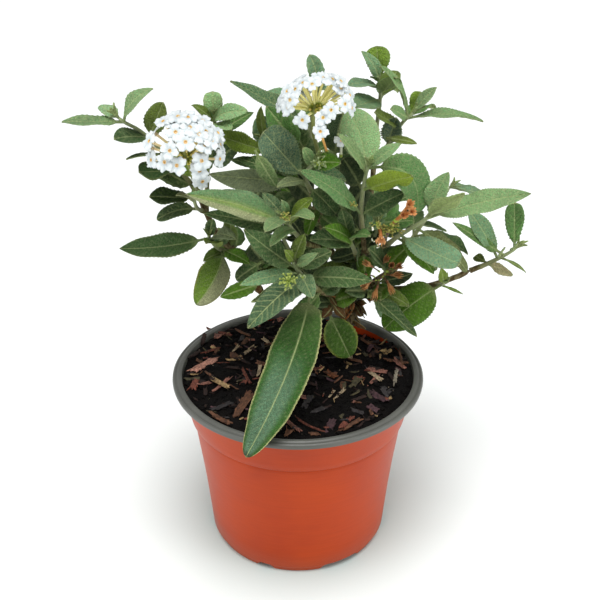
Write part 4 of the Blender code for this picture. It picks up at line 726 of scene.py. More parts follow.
def shapeChip(unit, centre, long, wide, spin, tilt, colour, seed, curl=0.0):
    draw = random.Random(seed)
    chip = copyOf(unit)
    spots = spotsOf(chip)
    u, t = spots[:, 0], spots[:, 1] * 2 - 1  # both from -1 to 1
    corners = np.array(((-1, -0.5), (0.8, -1), (1, 0.5), (-0.6, 1)))
    shifts = [(draw.uniform(-0.3, 0.2), draw.uniform(-0.3, 0.3)) for corner in range(4)]
    corners = (corners + shifts) * (long, wide)
    flat = between(between(corners[0], corners[1], t), between(corners[3], corners[2], t), u)
    rough = np.array([noise.noise((x * 0.9 + seed, y * 2.2, 1.0)) for x, y in flat])
    ragged = np.array([noise.noise((x * 1.1, y * 1.3, seed * 3.1)) for x, y in flat])
    rim = np.maximum(np.abs(u), np.abs(t))
    flat = flat * (1 + 0.55 * ragged * rim ** 2)[:, None]
    bow = draw.uniform(-0.12, 0.05) * flat[:, 1] ** 2 / max(wide, 1)
    bow = bow + draw.uniform(-0.03, 0.05) * flat[:, 0] ** 2 / long
    thick = 0.55 * (1 - 0.5 * rim ** 4)
    lift = np.where(spots[:, 2] > 0, thick + 0.35 * rough, -thick - 0.2 * rough) + bow * 2
    if curl:  # rolls the chip up about its length
        turn = flat[:, 1] / wide * curl
        lift = lift * np.cos(turn) + wide / curl * (1 - np.cos(turn))
        flat[:, 1] = wide / curl * np.sin(turn)
    spin, tilt = math.radians(spin), math.radians(tilt)
    along = np.array((math.cos(spin) * math.cos(tilt), math.sin(spin) * math.cos(tilt), math.sin(tilt)))
    up = np.array((-math.cos(spin) * math.sin(tilt), -math.sin(spin) * math.sin(tilt), math.cos(tilt)))
    side = np.cross(along, up)
    writeSpots(chip, np.array(centre) + flat[:, :1] * along + flat[:, 1:] * side + lift[:, None] * up)
    light = (0.72 + 0.35 * rough + 0.3 * rim ** 6) * draw.uniform(0.8, 1.15)
    writeColour(chip, "tint", np.outer(light, colour))
    return chip


def onRing(radius, turn, top):  # a place on the soil, just clear of its surface
    place = Vector((radius * math.cos(turn), radius * math.sin(turn), 0))
    place.z = top(place.x, place.y) + 0.5
    return place


def layBark():
    big, small = unitBlade(14, 8, barkFlake), unitBlade(6, 3, barkFlake)
    made = []
    for number, (colour, (wide, tilt, curl), start, end) in enumerate(readChips()):
        lie = end - start
        raised = 0.7 + 0.5 * lie.length * math.sin(math.radians(abs(tilt)))
        spin = math.degrees(math.atan2(lie.y, lie.x))
        centre = (start + end) / 2 + Vector((0, 0, raised))
        made.append(shapeChip(big, centre, lie.length / 2, wide, spin, tilt, chipTones[colour], number, curl))
    draw = random.Random(backChips["seed"])
    first, spread = backChips["turns"]
    for number in range(backChips["count"]):
        turn = math.radians(first + spread * number / (backChips["count"] - 1))
        centre = onRing(draw.uniform(*backChips["ring"]), turn, soilSwell)
        made.append(shapeChip(big, centre, draw.uniform(*backChips["long"]), draw.uniform(*backChips["wide"]),
                              draw.uniform(0, 180), draw.uniform(*backChips["tilts"]),
                              chipTones[backChips["tone"]], 40 + number))
    for number in range(flakes["count"]):
        centre = onRing(flakes["reach"] * math.sqrt(draw.random()), draw.uniform(0, 2 * math.pi), soilTop)
        long = draw.uniform(*flakes["long"])
        wide = draw.uniform(*flakes["splinter"]) if number % 3 == 0 else long * draw.uniform(0.25, 0.55)
        made.append(shapeChip(small, centre, long, wide, draw.uniform(0, 360), draw.uniform(*flakes["tilts"]),
                              chipTones[draw.choice(flakes["tones"])], 100 + number,
                              draw.choice(flakes["curls"])))
    removeAll((big, small))
    finishPiece(joined(made, "bark"), "bark_chips")


def unitBlade(rows, columns, material):  # a flat closed strip, -1 to 1 across and 0 to 1 along
    bpy.ops.mesh.primitive_grid_add(x_subdivisions=columns, y_subdivisions=rows, size=2)
    strip = newest()
    editAll(strip)
    bpy.ops.transform.resize(value=(1, 0.5, 1))
    bpy.ops.transform.translate(value=(0, 0.5, 0))
    leaveEdit()
    applyModifier(strip, "SOLIDIFY", thickness=0.2, offset=0.0)
    strip.data.materials.append(material)
    return strip


buildSoil()
buildCrumbs()
layBark()
print("soil and bark made")

# Leaves

# What every leaf shares: how much of it is stalk, how full its blade is against its stated width, and the
# lengths up to which a unit of so many rows and columns serves.
leafPlan = {
    "stalk": 0.13, "stalkHalf": 0.75, "full": 1.14, "tooth": 0.30, "wave": 0.10, "thick": 0.22,
    "bow": {"arch": 0.06, "sway": 0.0, "fold": 18.0},
    "veinGap": (3.1, 0.11), "veinHalf": 0.34, "swell": 0.42, "sunk": 0.16, "ribSunk": 0.24, "pucker": 0.18,
    "paleEdge": tone(176, 190, 140), "foot": tone(122, 144, 80), "stalkTone": tone(126, 138, 88),
    "tip": tone(92, 84, 52),
    "forms": {"lance": (0.62, 0.82), "oval": (0.58, 0.62), "spoon": (1.0, 0.48), "broad": (0.40, 0.55),
              "blunt": (0.68, 0.36)},
    "packedForms": {"lance": (0.75, 1.05), "oval": (0.7, 0.75), "spoon": (1.15, 0.5), "broad": (0.75, 1.05),
                    "blunt": (0.7, 0.75)},
    "packedFull": 1.10, "packedHalf": 0.375,
    "units": ((18, 20, 8), (32, 36, 14), (52, 66, 20), (200, 120, 28)),
    "plainUnits": ((18, 14, 6), (32, 22, 8), (200, 36, 12)),
}


# Each leaf colour: upper side, underside, and how strongly veined, felted and glossy the upper side is.
def leafTone(top, under, vein, felt, gloss, **extras):
    look = {"top": tone(*top), "under": tone(*under), "vein": vein, "felt": felt, "gloss": gloss}
    for name, value in extras.items():
        look[name] = tone(*value) if isinstance(value, tuple) else value
    return look


leafTones = {
    "sage": leafTone((96, 136, 82), (132, 148, 92), 0.25, 0.7, 0.1),
    "felted": leafTone((128, 178, 120), (142, 166, 112), 0.35, 1, 0),
    "pale": leafTone((110, 152, 98), (134, 156, 92), 0.3, 0.8, 0),
    "leafy": leafTone((74, 122, 62), (116, 140, 70), 0.3, 0.5, 0.15),
    "sea": leafTone((92, 138, 100), (120, 140, 88), 0.4, 0.6, 0.1),
    "blue": leafTone((62, 108, 72), (108, 126, 88), 0.5, 0.6, 0.15),
    "navy": leafTone((52, 84, 70), (108, 126, 88), 0.6, 0.5, 0.15, tip=(34, 30, 24), teeth=2.2),
    "green": leafTone((76, 120, 52), (116, 134, 70), 0.42, 0.2, 0.3),
    "dark": leafTone((44, 78, 32), (96, 112, 62), 0.45, 0.25, 0.3),
    # The deep tone is darker than the leaves' own colour: painted shade for the leaves inside the plant.
    "deep": leafTone((24, 48, 22), (60, 74, 40), 0.25, 0.15, 0.2),
    "glossy": leafTone((36, 56, 16), (94, 108, 56), 0.15, 0, 0.9),
    "grass": leafTone((70, 112, 6), (112, 138, 40), 0.3, 0.05, 0.45),
    "olive": leafTone((92, 116, 34), (116, 134, 44), 0.25, 0.2, 0.2),
    "lime": leafTone((112, 142, 40), (136, 154, 48), 0.2, 0.15, 0.1, underFelt=0.1),
    "grey": leafTone((96, 112, 76), (106, 118, 88), 0.4, 0.5, 0),
    "greyUnder": leafTone((72, 100, 52), (96, 112, 66), 0.4, 0.4, 0),
    "beige": leafTone((120, 116, 84), (138, 130, 96), 0.2, 0.3, 0),
    "beigeUnder": leafTone((96, 108, 60), (190, 178, 142), 0.3, 0.4, 0),
    "rimmed": leafTone((42, 76, 30), (116, 124, 84), 0.2, 0.2, 0.3, rim=(132, 134, 92), tip=(30, 30, 20)),
    "limeBeige": leafTone((96, 138, 92), (146, 144, 104), 0.25, 0.45, 0.1, left=(172, 164, 130),
                          leftFrom=0.3, middle=(142, 158, 66), tip=(80, 60, 50)),
    "limeTurned": leafTone((102, 132, 24), (146, 144, 104), 0.35, 0.2, 0.2, left=(164, 158, 122),
                           tip=(60, 50, 45), rim=(150, 138, 40)),
    "veined": leafTone((48, 82, 52), (104, 124, 90), 0.95, 0.3, 0.3),
    # The hanging leaf's sheen tone is a painted reflection on its lower middle.
    "hanging": leafTone((34, 84, 12), (100, 130, 60), 0.26, 0.1, 0.7, rib=0.9, rim=(210, 210, 140),
                        tip=(24, 22, 16), sheen=(92, 126, 98), teeth=0.55),
    "yellowRim": leafTone((58, 94, 16), (112, 128, 60), 0.3, 0.1, 0.25, rim=(150, 156, 70)),
    "serrated": leafTone((96, 102, 50), (116, 108, 66), 0.4, 0.35, 0.1, rim=(96, 80, 44)),
    "dry": leafTone((104, 72, 40), (132, 100, 64), 0.2, 0, 0.1),
    "spent": leafTone((160, 98, 48), (140, 80, 40), 0.1, 0, 0.1),
    "mouldy": leafTone((70, 56, 30), (96, 78, 44), 0.2, 0, 0.1),
    "bud": leafTone((122, 142, 70), (132, 150, 88), 0.1, 0.7, 0),
}


def midrib(entry):  # the foot, pulled middle and tip of the curved midrib, and its upward way
    chord = entry["tipAt"] - entry["baseAt"]
    along = chord.normalized()
    up = (entry["up"] - along * entry["up"].dot(along)).normalized()
    side = along.cross(up)
    pull = (up * entry["arch"] + side * entry["sway"]) * 2 * chord.length
    return entry["baseAt"], (entry["baseAt"] + entry["tipAt"]) / 2 + pull, entry["tipAt"], up


def outlineShare(form, t, forms="forms"):
    rise, fall = leafPlan[forms][form]
    peak = rise / (rise + fall)
    return t ** rise * (1 - t) ** fall / (peak ** rise * (1 - peak) ** fall)


def unitRows(rows):
    return np.linalg.norm(rows, axis=1)[:, None]


def bladeWays(entry, t):  # centre, normal and side at each share of the length
    base, middle, tip, up = (np.array(part) for part in midrib(entry))
    share = t[:, None]
    centre = base * (1 - share) ** 2 + middle * 2 * share * (1 - share) + tip * share ** 2
    way = (middle - base) * (1 - share) + (tip - middle) * share
    way /= unitRows(way)
    normal = up - way * (way @ up)[:, None]
    normal /= unitRows(normal)
    return centre, normal, np.cross(way, normal)


def blend(low, high, value):  # a smooth step from 0 to 1
    share = np.clip((value - low) / (high - low), 0, 1)
    return share * share * (3 - 2 * share)


def packedSteps(chord):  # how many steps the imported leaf's outline has
    return max(4, 3 + int(chord / 15))


# Across the leaf u runs from -1 to 1. Along it t runs from foot to tip, and b over the blade alone.
def shapeBlade(units, entry, seed):
    plan = leafPlan
    draw = random.Random(seed)
    chord = (entry["tipAt"] - entry["baseAt"]).length
    rows, unit = next((rows, unit) for limit, rows, unit in units if chord <= limit)
    leaf = copyOf(unit)
    spots = spotsOf(leaf)
    u, t, face = spots[:, 0], spots[:, 1], np.sign(spots[:, 2])
    u = np.sign(u) * np.abs(u) ** 1.35  # closer columns by the midrib
    reach = np.abs(u)
    look = leafTones[entry["tone"]]
    centre, normal, side = bladeWays(entry, t)
    b = np.clip((t - plan["stalk"]) / (1 - plan["stalk"]), 0, 1)
    ring = 1 + b * (packedSteps(chord) - 1)
    wide = entry["wide"] / 2 * plan["full"]
    teeth = np.where(np.round(t * rows) % 3 == 0, 1, -0.5) * plan["tooth"] * blend(0.6, 1, reach)
    teeth = teeth * look.get("teeth", 1.0)
    half = wide * outlineShare(entry["form"], b) \
        + teeth * min(1.0, wide / 5) * 1.6 * blend(0.03, 0.15, b) * (1 - b)
    half = np.maximum(half, plan["stalkHalf"] * (1 - blend(0.0, 0.55, b) * 0.85))
    x = reach * half
    # side veins run forward from the midrib, and the blade swells a little between them
    spacing = plan["veinGap"][0] + plan["veinGap"][1] * entry["wide"]
    drift = draw.uniform(0, 6)
    phase = (b * chord - x * 1.15 - 0.03 * x * x + 0.5 * np.sin(b * chord * 0.5 + drift)
             + 0.35 * np.sign(u)) / spacing + draw.random()
    off = (phase - np.floor(phase) - 0.5) * spacing
    vein = np.exp(-(off / plan["veinHalf"]) ** 2) * blend(1.0, 0.86, reach) * blend(0.02, 0.12, b) \
        * (1 - blend(0.85, 1, b))
    rib = np.exp(-(x / (0.18 + 0.26 * (1 - t))) ** 2)
    along = b * chord
    quilt = np.sin(2.7 * x + 1.4 * np.sin(1.5 * along + drift)) \
        * np.sin(2.6 * along + 1.6 * np.sin(1.9 * u * half))
    swell = (1 - np.exp(-(off / (0.32 * spacing)) ** 2)) * np.sin(np.pi * np.clip(reach, 0, 1)) ** 0.7
    size = min(1.0, wide / 6)
    relief = (plan["swell"] * swell - plan["sunk"] * vein) * size * (0.4 + look["vein"]) \
        - plan["ribSunk"] * rib * size
    relief += plan["pucker"] * quilt * size * (0.4 + 0.8 * look["felt"]) * blend(1.0, 0.8, reach)
    stalky = 1 - blend(0.0, 0.12, b)
    rounded = np.sqrt(np.clip(1 - u * u, 0, 1))
    thick = plan["thick"] * (1 - 0.45 * reach ** 4) + stalky * 0.5 * rounded
    keel = np.where(face < 0, rib * (0.35 + 0.5 * (1 - t)) * (1 - stalky), 0)
    fold = math.radians(entry["fold"])
    spread = np.sqrt(x * x + 0.3) - math.sqrt(0.3)
    ripple = draw.uniform(0.06, 0.13) * half
    ripple = ripple * np.sin(along / draw.uniform(2.6, 4.2) + np.sign(u) * draw.uniform(0.6, 2.4))
    wave = plan["wave"] * half * np.sin(2.1 * ring + entry["wide"])
    lift = spread * math.sin(fold) + wave * -u + ripple * reach ** 2 - 0.10 * half * reach ** 4
    lift += relief * (1 - stalky) + face * thick - keel
    place = centre + side * (u * half * math.cos(fold))[:, None] + normal * lift[:, None]
    writeSpots(leaf, place)
    colourBlade(leaf, look, draw, u, b, face, vein, rib, stalky, quilt)
    return leaf


def mixInto(colours, share, colour):
    return colours * (1 - share[:, None]) + np.array(colour) * share[:, None]


def colourBlade(leaf, look, draw, u, b, face, vein, rib, stalky, quilt):
    reach = np.abs(u)
    above = face > 0
    colours = np.tile(np.array(look["top"]), (len(u), 1))
    if "left" in look:
        start = look.get("leftFrom", -0.05)
        colours = mixInto(colours, blend(start, start + 0.17, -u) * 0.9, look["left"])
    if "middle" in look:
        colours = mixInto(colours, np.exp(-((u + 0.12) / 0.3) ** 2) * 0.8, look["middle"])
    drift = 0.5 + 0.5 * np.sin(b * draw.uniform(3, 8) + u * draw.uniform(-2, 2) + draw.uniform(0, 6))
    # Random drift in tone, and a little painted shade that follows the puckered relief.
    colours = colours * (0.84 + 0.22 * drift + 0.07 * quilt)[:, None]
    colours = mixInto(colours, blend(0.4, 0.0, b) * 0.2, leafPlan["foot"])
    if "sheen" in look:  # a painted reflection: a bluish sheen on the lower middle of the hanging leaf
        paintedSheen = blend(0.3, 0.6, b) * blend(0.85, 0.45, np.abs(u - 0.05)) * 0.75
        colours = mixInto(colours, paintedSheen, look["sheen"])
    under = np.tile(np.array(look["under"]), (len(u), 1)) * (0.92 + 0.12 * drift)[:, None]
    colours[~above] = under[~above]
    rim, share = leafPlan["paleEdge"], 0.34 * (0.3 + look["felt"])
    if "rim" in look:
        rim, share = look["rim"], 0.85
    colours = mixInto(colours, blend(0.9, 0.975, reach) * share * (1 - stalky), rim)
    colours = mixInto(colours, blend(0.955, 1.0, b) * 0.9, look.get("tip", leafPlan["tip"]))
    colours = mixInto(colours, stalky * 0.8, leafPlan["stalkTone"])
    bright = np.array([draw.uniform(0.92, 1.08), draw.uniform(0.94, 1.06), draw.uniform(0.88, 1.1)])
    colours = colours * bright * draw.uniform(0.92, 1.08)
    writeColour(leaf, "tint", np.clip(colours, 0, 1))
    traits = np.zeros((len(u), 3))
    ribShare = rib * look.get("rib", 0.34 + 0.6 * look["vein"])
    veinShare = vein * 0.6 * look["vein"] ** 1.1
    traits[:, 0] = np.maximum(ribShare, veinShare) * (1 - stalky)
    traits[:, 1] = np.where(above, look["felt"], look.get("underFelt", 0.5))
    traits[:, 2] = np.where(above, look["gloss"], 0.0)
    writeColour(leaf, "traits", traits)


def readLeaves(rows, footAt):
    entries = []
    for row in rows.strip().splitlines():
        look, foot, tip, up, *bow = row.split(",")
        leafColour, form, wide = look.split()
        entry = {"tone": leafColour, "form": form, "wide": float(wide), "baseAt": footAt(*numbers(foot)),
                 "tipAt": atPixel(*numbers(tip)), "up": Vector(numbers(up)), **leafPlan["bow"]}
        entry.update(zip(("arch", "sway", "fold"), numbers("".join(bow))))
        entry["tipWay"] = (entry["tipAt"] - view["point"]).normalized()
        entries.append(entry)
    return entries


# Each shoot has its stub of wood and its green stem, by pixel and depth, and its leaves: colour, form, width,
# the pixel of the foot, the pixel and depth of the tip, the way that the upper side looks, and the arch, the
# sway and the fold in degrees where they aren't 0.06, 0 and 18.
shoots = {
    "shoot_far_left": {
        "stub": "199 196 13, 193 187 10", "radii": (1.3, 0.8),
        "stem": "190 182 8, 168 158 6, 143 133 0, 124 122 -3, 117 116 -4",
        "leaves": """
    sage lance 9, 119 131, 61.6 121.6 -10, 0 -0.3 1, 0 0 20
    felted oval 7, 118 122, 99 106 4, 0.3 -0.6 0.8
    pale lance 8.5, 124 122, 153 88.3 -6, -0.7 -0.5 0.5, 0.16
    dark oval 11, 146 141, 114 139 -12, 0 -0.5 0.9
    olive oval 11, 148 140, 163 102.3 2, -0.3 -0.9 0.3, 0.1
    dark lance 5, 166 156, 126 159 -6, 0 0.1 1
    rimmed blunt 11, 178 166, 139 172 -4, 0 -0.5 0.9
    """},
    "shoot_left_top": {
        "stub": "206 212 16, 207 196 20", "radii": (1.3, 0.8),
        "stem": "207 188 21, 208 165 22, 213 135 20, 215 120 18, 214 113 17",
        "leaves": """
    felted blunt 9, 214 122, 212.4 91.2 18, 0 -0.9 0.4
    olive lance 6, 213 122, 191.9 105 8, 0.2 -0.6 0.8
    olive lance 6, 215 120, 240 108 12, -0.2 -0.6 0.8
    felted oval 8, 215 122, 247.8 111.3 4, 0 -0.7 0.7
    felted oval 7, 214 125, 231.5 129.5 2, 0 -0.6 0.8
    green lance 7, 212 138, 253.5 112.3 26, 0 -0.6 0.8
    dark oval 8, 209 160, 226 138 30, 0 -0.4 0.9
    """},
    "shoot_left_middle": {
        "stub": "206 212 16, 203 211 12", "radii": (1.2, 0.8),
        "stem": "201 210.5 10, 197 208 5, 195 203 1, 194 198 -1",
        "leaves": """
    dark oval 9, 199 212, 156.8 220 2, 0 -0.5 0.8, 0.02 0.03
    glossy oval 10.5, 194 197, 149.2 196.5 -6, 0 -0.4 0.9, 0.1
    beige lance 5, 195 203, 176 195 -10, 0 -0.3 1, 0.1
    """},
    "shoot_low_left": {
        "stub": "234 250 26, 229 252 22", "radii": (1.3, 0.8),
        "stem": "226 252 20, 218 248 14, 212 242 9, 209 236 6",
        "leaves": """
    rimmed lance 13, 211 237, 119.4 248.5 -2, 0 -0.75 0.66, 0.03 -0.03 25
    dark oval 6, 209 237, 213 219 6, -0.2 -0.8 0.5
    limeTurned broad 17, 231 249, 196 305 -12, 0.25 -0.85 0.45, 0.05 -0.05 -26
    olive oval 8, 219 248, 206 243 -14, 0 -0.6 0.8
    grass lance 8, 222 250, 250 264 0, 0 -0.5 0.8
    grey oval 8, 213 243, 236 239 -8, 0 -0.5 0.8
    """},
    "shoot_crown": {
        "stub": "314 200 17, 312 194 15", "radii": (1.5, 0.9),
        "stem": "311 191 14, 307 183 9, 305 175 4, 311 166 0, 315 160 -1",
        "leaves": """
    navy blunt 18, 306 179, 263 132 -8, 0.2 -0.85 0.5, 0.05 0 16
    green lance 9, 307 183, 252 156 -2, 0 -0.6 0.8
    grey lance 13, 300 184, 209 174 -8, 0 0.95 0.2, 0.03 0.03 -15
    grey oval 6, 307 182, 277 187 -16, 0 -0.5 0.8
    dark lance 9, 309 187, 236 158 16, 0 -0.5 0.8
    grass oval 9, 310 166, 341 163 -8, 0 -0.6 0.8, 0.1
    sage oval 6, 312 165, 303 148 -6, 0.2 -0.8 0.6
    blue oval 10, 306 176, 346 181 2, 0 -0.5 0.8, 0.1
    dark oval 12, 310 188, 336 214 4, 0 -0.7 0.7, 0.1
    """},
    "shoot_middle_back": {
        "stub": "319 218 22, 304 203 28", "radii": (1.3, 0.8),
        "stem": "300 199 30, 285 172 32, 270 150 28, 264 138 26",
        "leaves": """
    lime lance 10, 271 154, 212.4 133.3 2, 0 -0.75 0.6, 0.03
    olive lance 6, 266 142, 261 106.5 20, -0.5 -0.8 0.3
    blue oval 13, 268 148, 259 116 32, 0.3 -0.8 0.5
    blue oval 9, 270 148, 284 120 34, 0 -0.8 0.5
    dark oval 10, 284 170, 250 168 40, 0 -0.3 1
    """},
    "shoot_top": {
        "stub": "328 200 54, 322 186 53", "radii": (1.5, 0.8),
        "stem": "320 181 52, 312 150 46, 310 120 42, 316 96 40, 319 84 39",
        "leaves": """
    blue lance 10.5, 310 127, 230.2 81 26, 0 -0.5 0.85, 0.05 -0.03
    sea lance 9, 312 112, 264 93 44, 0 -0.4 0.9
    sea oval 8.5, 320 86, 309.5 54.5 38, 0.2 -0.9 0.4, 0.1 0.03
    sea oval 8, 318 92, 341 80 46, -0.2 -0.6 0.7, 0.1
    green lance 10, 311 116, 344 112 60, 0 0.3 0.9, 0.1
    green lance 10, 310 126, 290 110 76, 0 0.3 0.9, 0.1
    green lance 11, 313 152, 346 146 62, 0 0.2 0.9, 0.12
    dark oval 13, 318 174, 342 203 40, 0 -0.7 0.7, 0.1
    dark oval 12, 316 168, 340 176 34, 0 -0.7 0.7, 0.1
    """},
    "shoot_top_right": {
        "stub": "374 165 43, 374.5 156 42", "radii": (1.4, 0.8),
        "stem": "375 152 41, 377 125 42, 380 102 41, 380 88 39, 378 80 38",
        "leaves": """
    lime spoon 12, 378 82, 376.7 45.9 38, 0 -0.9 0.4, 0.05
    sea lance 7, 377 82, 361.5 51 46, 0.5 -0.8 0.4
    sea lance 9.5, 381 90, 347 85.5 26, 0 -0.3 0.9, 0.05
    green oval 11, 380 92, 396 77 22, -0.2 0.95 0.1, 0 0 10
    olive oval 10, 379 97, 398 71 50, -0.4 -0.7 0.5
    sea oval 13, 384 100, 354 107 18, 0 -0.5 0.8
    green lance 11, 380 100, 398 92 72, 0 0.4 0.9, 0.12
    """},
    "shoot_far_right_top": {
        "stub": "374 165 43, 381 156 38", "radii": (1.3, 0.8),
        "stem": "384 152 36, 393 136 31, 403 122 27, 411 115 25, 415 111 25",
        "leaves": """
    sage lance 8.5, 408 120, 483.6 121.2 18, 0 -0.15 1, -0.02 0 22
    lime spoon 7.5, 411 117, 420.5 91.5 16, 0 -0.9 0.4
    pale lance 6.5, 415 114, 436.6 87.1 30, -0.5 -0.6 0.6
    sage oval 7, 408 119, 391 109 14, 0.3 -0.7 0.6
    sage lance 8, 408 118, 380 66 20, 0.8 -0.3 0.6, 0.14 0.06
    olive oval 9, 397 121, 375 112 16, 0 -0.6 0.8
    navy oval 10, 385 147, 396 118 14, 0 -0.8 0.5
    green lance 10, 403 123, 436 108 54, 0 0.2 0.9, 0.1
    """},
    "shoot_tall": {
        "stub": "363 238 14, 362 231 11", "radii": (1.5, 0.9),
        "stem": "362 227 10, 361 210 6, 363 190 2, 366 174 0, 369 165 -1",
        "leaves": """
    felted oval 18, 367 171, 349 108.5 6, 0 -0.9 0.4, 0.06 0.05 14
    sage lance 8, 365 174, 337.7 133.6 -10, 0.6 -0.5 0.6
    pale lance 7, 368 168, 401 143.5 -6, -0.3 -0.6 0.7
    lime oval 14, 363 189, 412.6 175.6 -20, -0.1 0.95 0.3, 0 0.03 10
    leafy oval 18, 368 168, 417 213 -4, 0.5 -0.75 0.45, 0.21 -0.26 14
    dark oval 11, 361 216, 404 192.8 0, -0.1 -0.75 0.6
    leafy lance 10.5, 361 214, 299 170 -18, 0.2 -0.7 0.7, 0.08
    """},
    "shoot_right": {
        "stub": "364 252 20, 384 246 12", "radii": (1.5, 0.8),
        "stem": "388 244 10, 400 235 3, 415 226 -1, 426 219 -3, 431 214 -4",
        "leaves": """
    pale lance 11, 430 214, 449 172.3 0, -0.5 -0.75 0.45
    pale lance 12, 428 218, 464.8 193 -20, -0.3 0.95 0.2, 0 0.04 10
    pale lance 11.5, 427 221, 531.3 193.6 -6, 0 -0.7 0.75, 0.03 -0.02
    sea lance 6, 429 216, 433 188 10, 0.2 -0.8 0.5
    sea blunt 14, 401 236, 460 264 -26, 0.1 -0.7 0.7, 0.06 0.05
    serrated oval 10, 413 228, 467 272 4, 0.3 -0.6 0.7, 0.03 -0.02
    grass lance 9, 400 244, 434 274 -6, 0 -0.5 0.85, 0.03
    """},
    "shoot_low_right": {
        "stub": "470 270.5 20, 478 267.5 19", "radii": (1.4, 0.8),
        "stem": "481 266.5 18.5, 492 261.5 18, 503 256 17, 512 251 16, 517 247 16",
        "leaves": """
    green blunt 9.5, 513 248, 514.5 202.6 12, -0.1 -0.9 0.4, 0.05
    sea lance 10.5, 497 257, 467 208 22, 0.3 -0.8 0.5
    green lance 6.5, 505 256, 452.8 222.5 18, 0 -0.5 0.8, 0.05
    beigeUnder oval 7, 483 266, 513 275 6, 0 0.95 0.2, 0 0 10
    olive spoon 5, 475 269, 475 256 20, 0 -0.8 0.6
    """},
    "spur_right": {
        "stub": "430 285.5 24, 437 285 19", "radii": (1.2, 0.9),
        "stem": "439 285 17, 442 284.5 14, 444 282 12",
        "leaves": """
    grass broad 20, 441 287, 384 329 2, 0 -0.8 0.6, 0.05 0.03 -12
    lime lance 5, 443 283, 441 268 6, 0 -0.8 0.6
    """},
    "spur_low_right": {
        "stub": "366 287 32, 366 289 22", "radii": (1.2, 0.9),
        "stem": "366 289.5 20, 366 290 16, 368 292 12",
        "leaves": """
    dark lance 10, 367 291, 417 336.5 -12, 0.5 -0.6 0.6, 0.03 0.03 30
    """},
    "shoot_front": {
        "stub": "324 293 10, 318 290 5", "radii": (1.7, 0.9),
        "stem": "315 288 3, 307 281 -5, 299 272 -12, 294 264 -15, 292 258 -16",
        "leaves": """
    dark lance 12, 297 269, 243.7 229.4 -20, 0.25 -0.75 0.6, 0.05 -0.03
    sea lance 8, 300 273, 239.7 285.2 -28, 0 -0.6 0.8, 0.08
    greyUnder lance 9, 303 276, 251 302 -40, 0 0.9 0.1, 0 0 10
    veined oval 13, 308 282, 247.7 328.3 -50, -0.1 -0.75 0.65, 0.1
    hanging broad 22, 311 286, 245.7 457.3 -76, -0.1 -0.72 0.7, 0.1 -0.062 16
    blue oval 9, 301 273, 312.5 298 -34, 0 -0.8 0.6, 0.1
    dark lance 11, 304 277, 372.4 280.8 -24, 0 -0.75 0.7, 0.08
    dark oval 9, 297 268, 331.6 251.4 -14, 0 -0.7 0.7
    sage lance 5, 296 266, 317.6 253 -24, 0 -0.8 0.6
    olive lance 7, 294 262, 304.8 233.6 -14, -0.3 -0.85 0.4
    lime lance 5, 293 261, 284.5 250 -24, 0.3 -0.8 0.5
    """},
    "spur_low_front": {
        "stub": "346 298 24, 338 306 18", "radii": (1.2, 0.9),
        "stem": "335 308 16, 330 311 13, 326 313 10",
        "leaves": """
    yellowRim oval 17, 328 311, 350 357 6, 0 -0.85 0.5, 0.05
    """},
    "shoot_rosette": {
        "stub": "331 250 28, 308 244 8", "radii": (1.4, 0.9),
        "stem": "304 242 5, 296 234 0, 289 225 -5, 286 218 -8",
        "leaves": """
    limeBeige lance 11, 288 226, 185.5 194 -34, 0.15 -0.8 0.55, 0.04 0.03 14
    sea lance 10, 287 221, 223 189.6 -12, 0.2 -0.5 0.8, 0.05
    sage oval 9, 288 224, 313.5 219 -34, 0 -0.4 0.9, 0.1
    sage oval 8, 287 222, 265 231.5 -34, 0 -0.4 0.9, 0.1
    blue oval 7, 289 225, 262.5 193 -2, 0 -0.6 0.7, 0.1
    lime oval 7, 290 226, 313 198 -6, 0 -0.4 0.9, 0.12
    pale lance 5, 286 219, 281.7 200 -18, 0.4 -0.8 0.5
    dark lance 10, 295 233, 203.8 213.5 -4, 0 -0.6 0.8, 0.05
    sage oval 7, 296 234, 270 246 -20, 0 -0.4 0.9, 0.1
    """},
    "shoot_inner": {
        "stub": "360 268 42, 366 262 34", "radii": (1.3, 0.8),
        "stem": "367 258 30, 372 246 24, 376 232 20, 378 222 18",
        "leaves": """
    dark oval 14, 371 250, 398 268 10, 0 -0.6 0.8, 0.1
    dark oval 13, 370 252, 343 262 14, 0 -0.6 0.8, 0.1
    dark oval 14, 376 234, 402 222 22, 0 -0.6 0.8, 0.1
    dark oval 14, 375 236, 346 224 26, 0 -0.6 0.8, 0.1
    green oval 11, 378 223, 394 200 30, 0 -0.7 0.7, 0.1
    dark oval 14, 378 223, 352 192 34, 0 -0.7 0.7, 0.1
    """},
    "shoot_inner_left": {
        "stub": "300 274 36, 296 266 30", "radii": (1.3, 0.8),
        "stem": "295 262 28, 288 248 24, 280 232 20, 272 218 18",
        "leaves": """
    dark oval 11, 291 254, 262 262 12, 0 -0.6 0.8, 0.1
    dark oval 14, 290 252, 320 246 16, 0 -0.6 0.8, 0.1
    dark oval 11, 279 230, 246 226 20, 0 -0.6 0.8, 0.1
    dark oval 14, 280 232, 312 220 24, 0 -0.6 0.8, 0.1
    green oval 11, 273 219, 240 200 26, 0 -0.7 0.7, 0.1
    dark oval 14, 273 219, 296 196 30, 0 -0.7 0.7, 0.1
    """},
    "shoot_middle": {
        "stub": "361 272 28, 356 256 16", "radii": (1.3, 0.9),
        "stem": "355 252 13, 352 245 8, 349 238 5",
        "leaves": """
    grass lance 9, 352 244, 323.6 227.2 -14, 0 -0.7 0.7, 0.1
    dark oval 8, 350 240, 341.5 209 0, 0 -0.9 0.4
    dark oval 11, 353 247, 310 240 -6, 0 -0.5 0.8, 0.1
    green oval 7, 351 242, 370 236 -16, 0 -0.6 0.8, 0.1
    """},
}

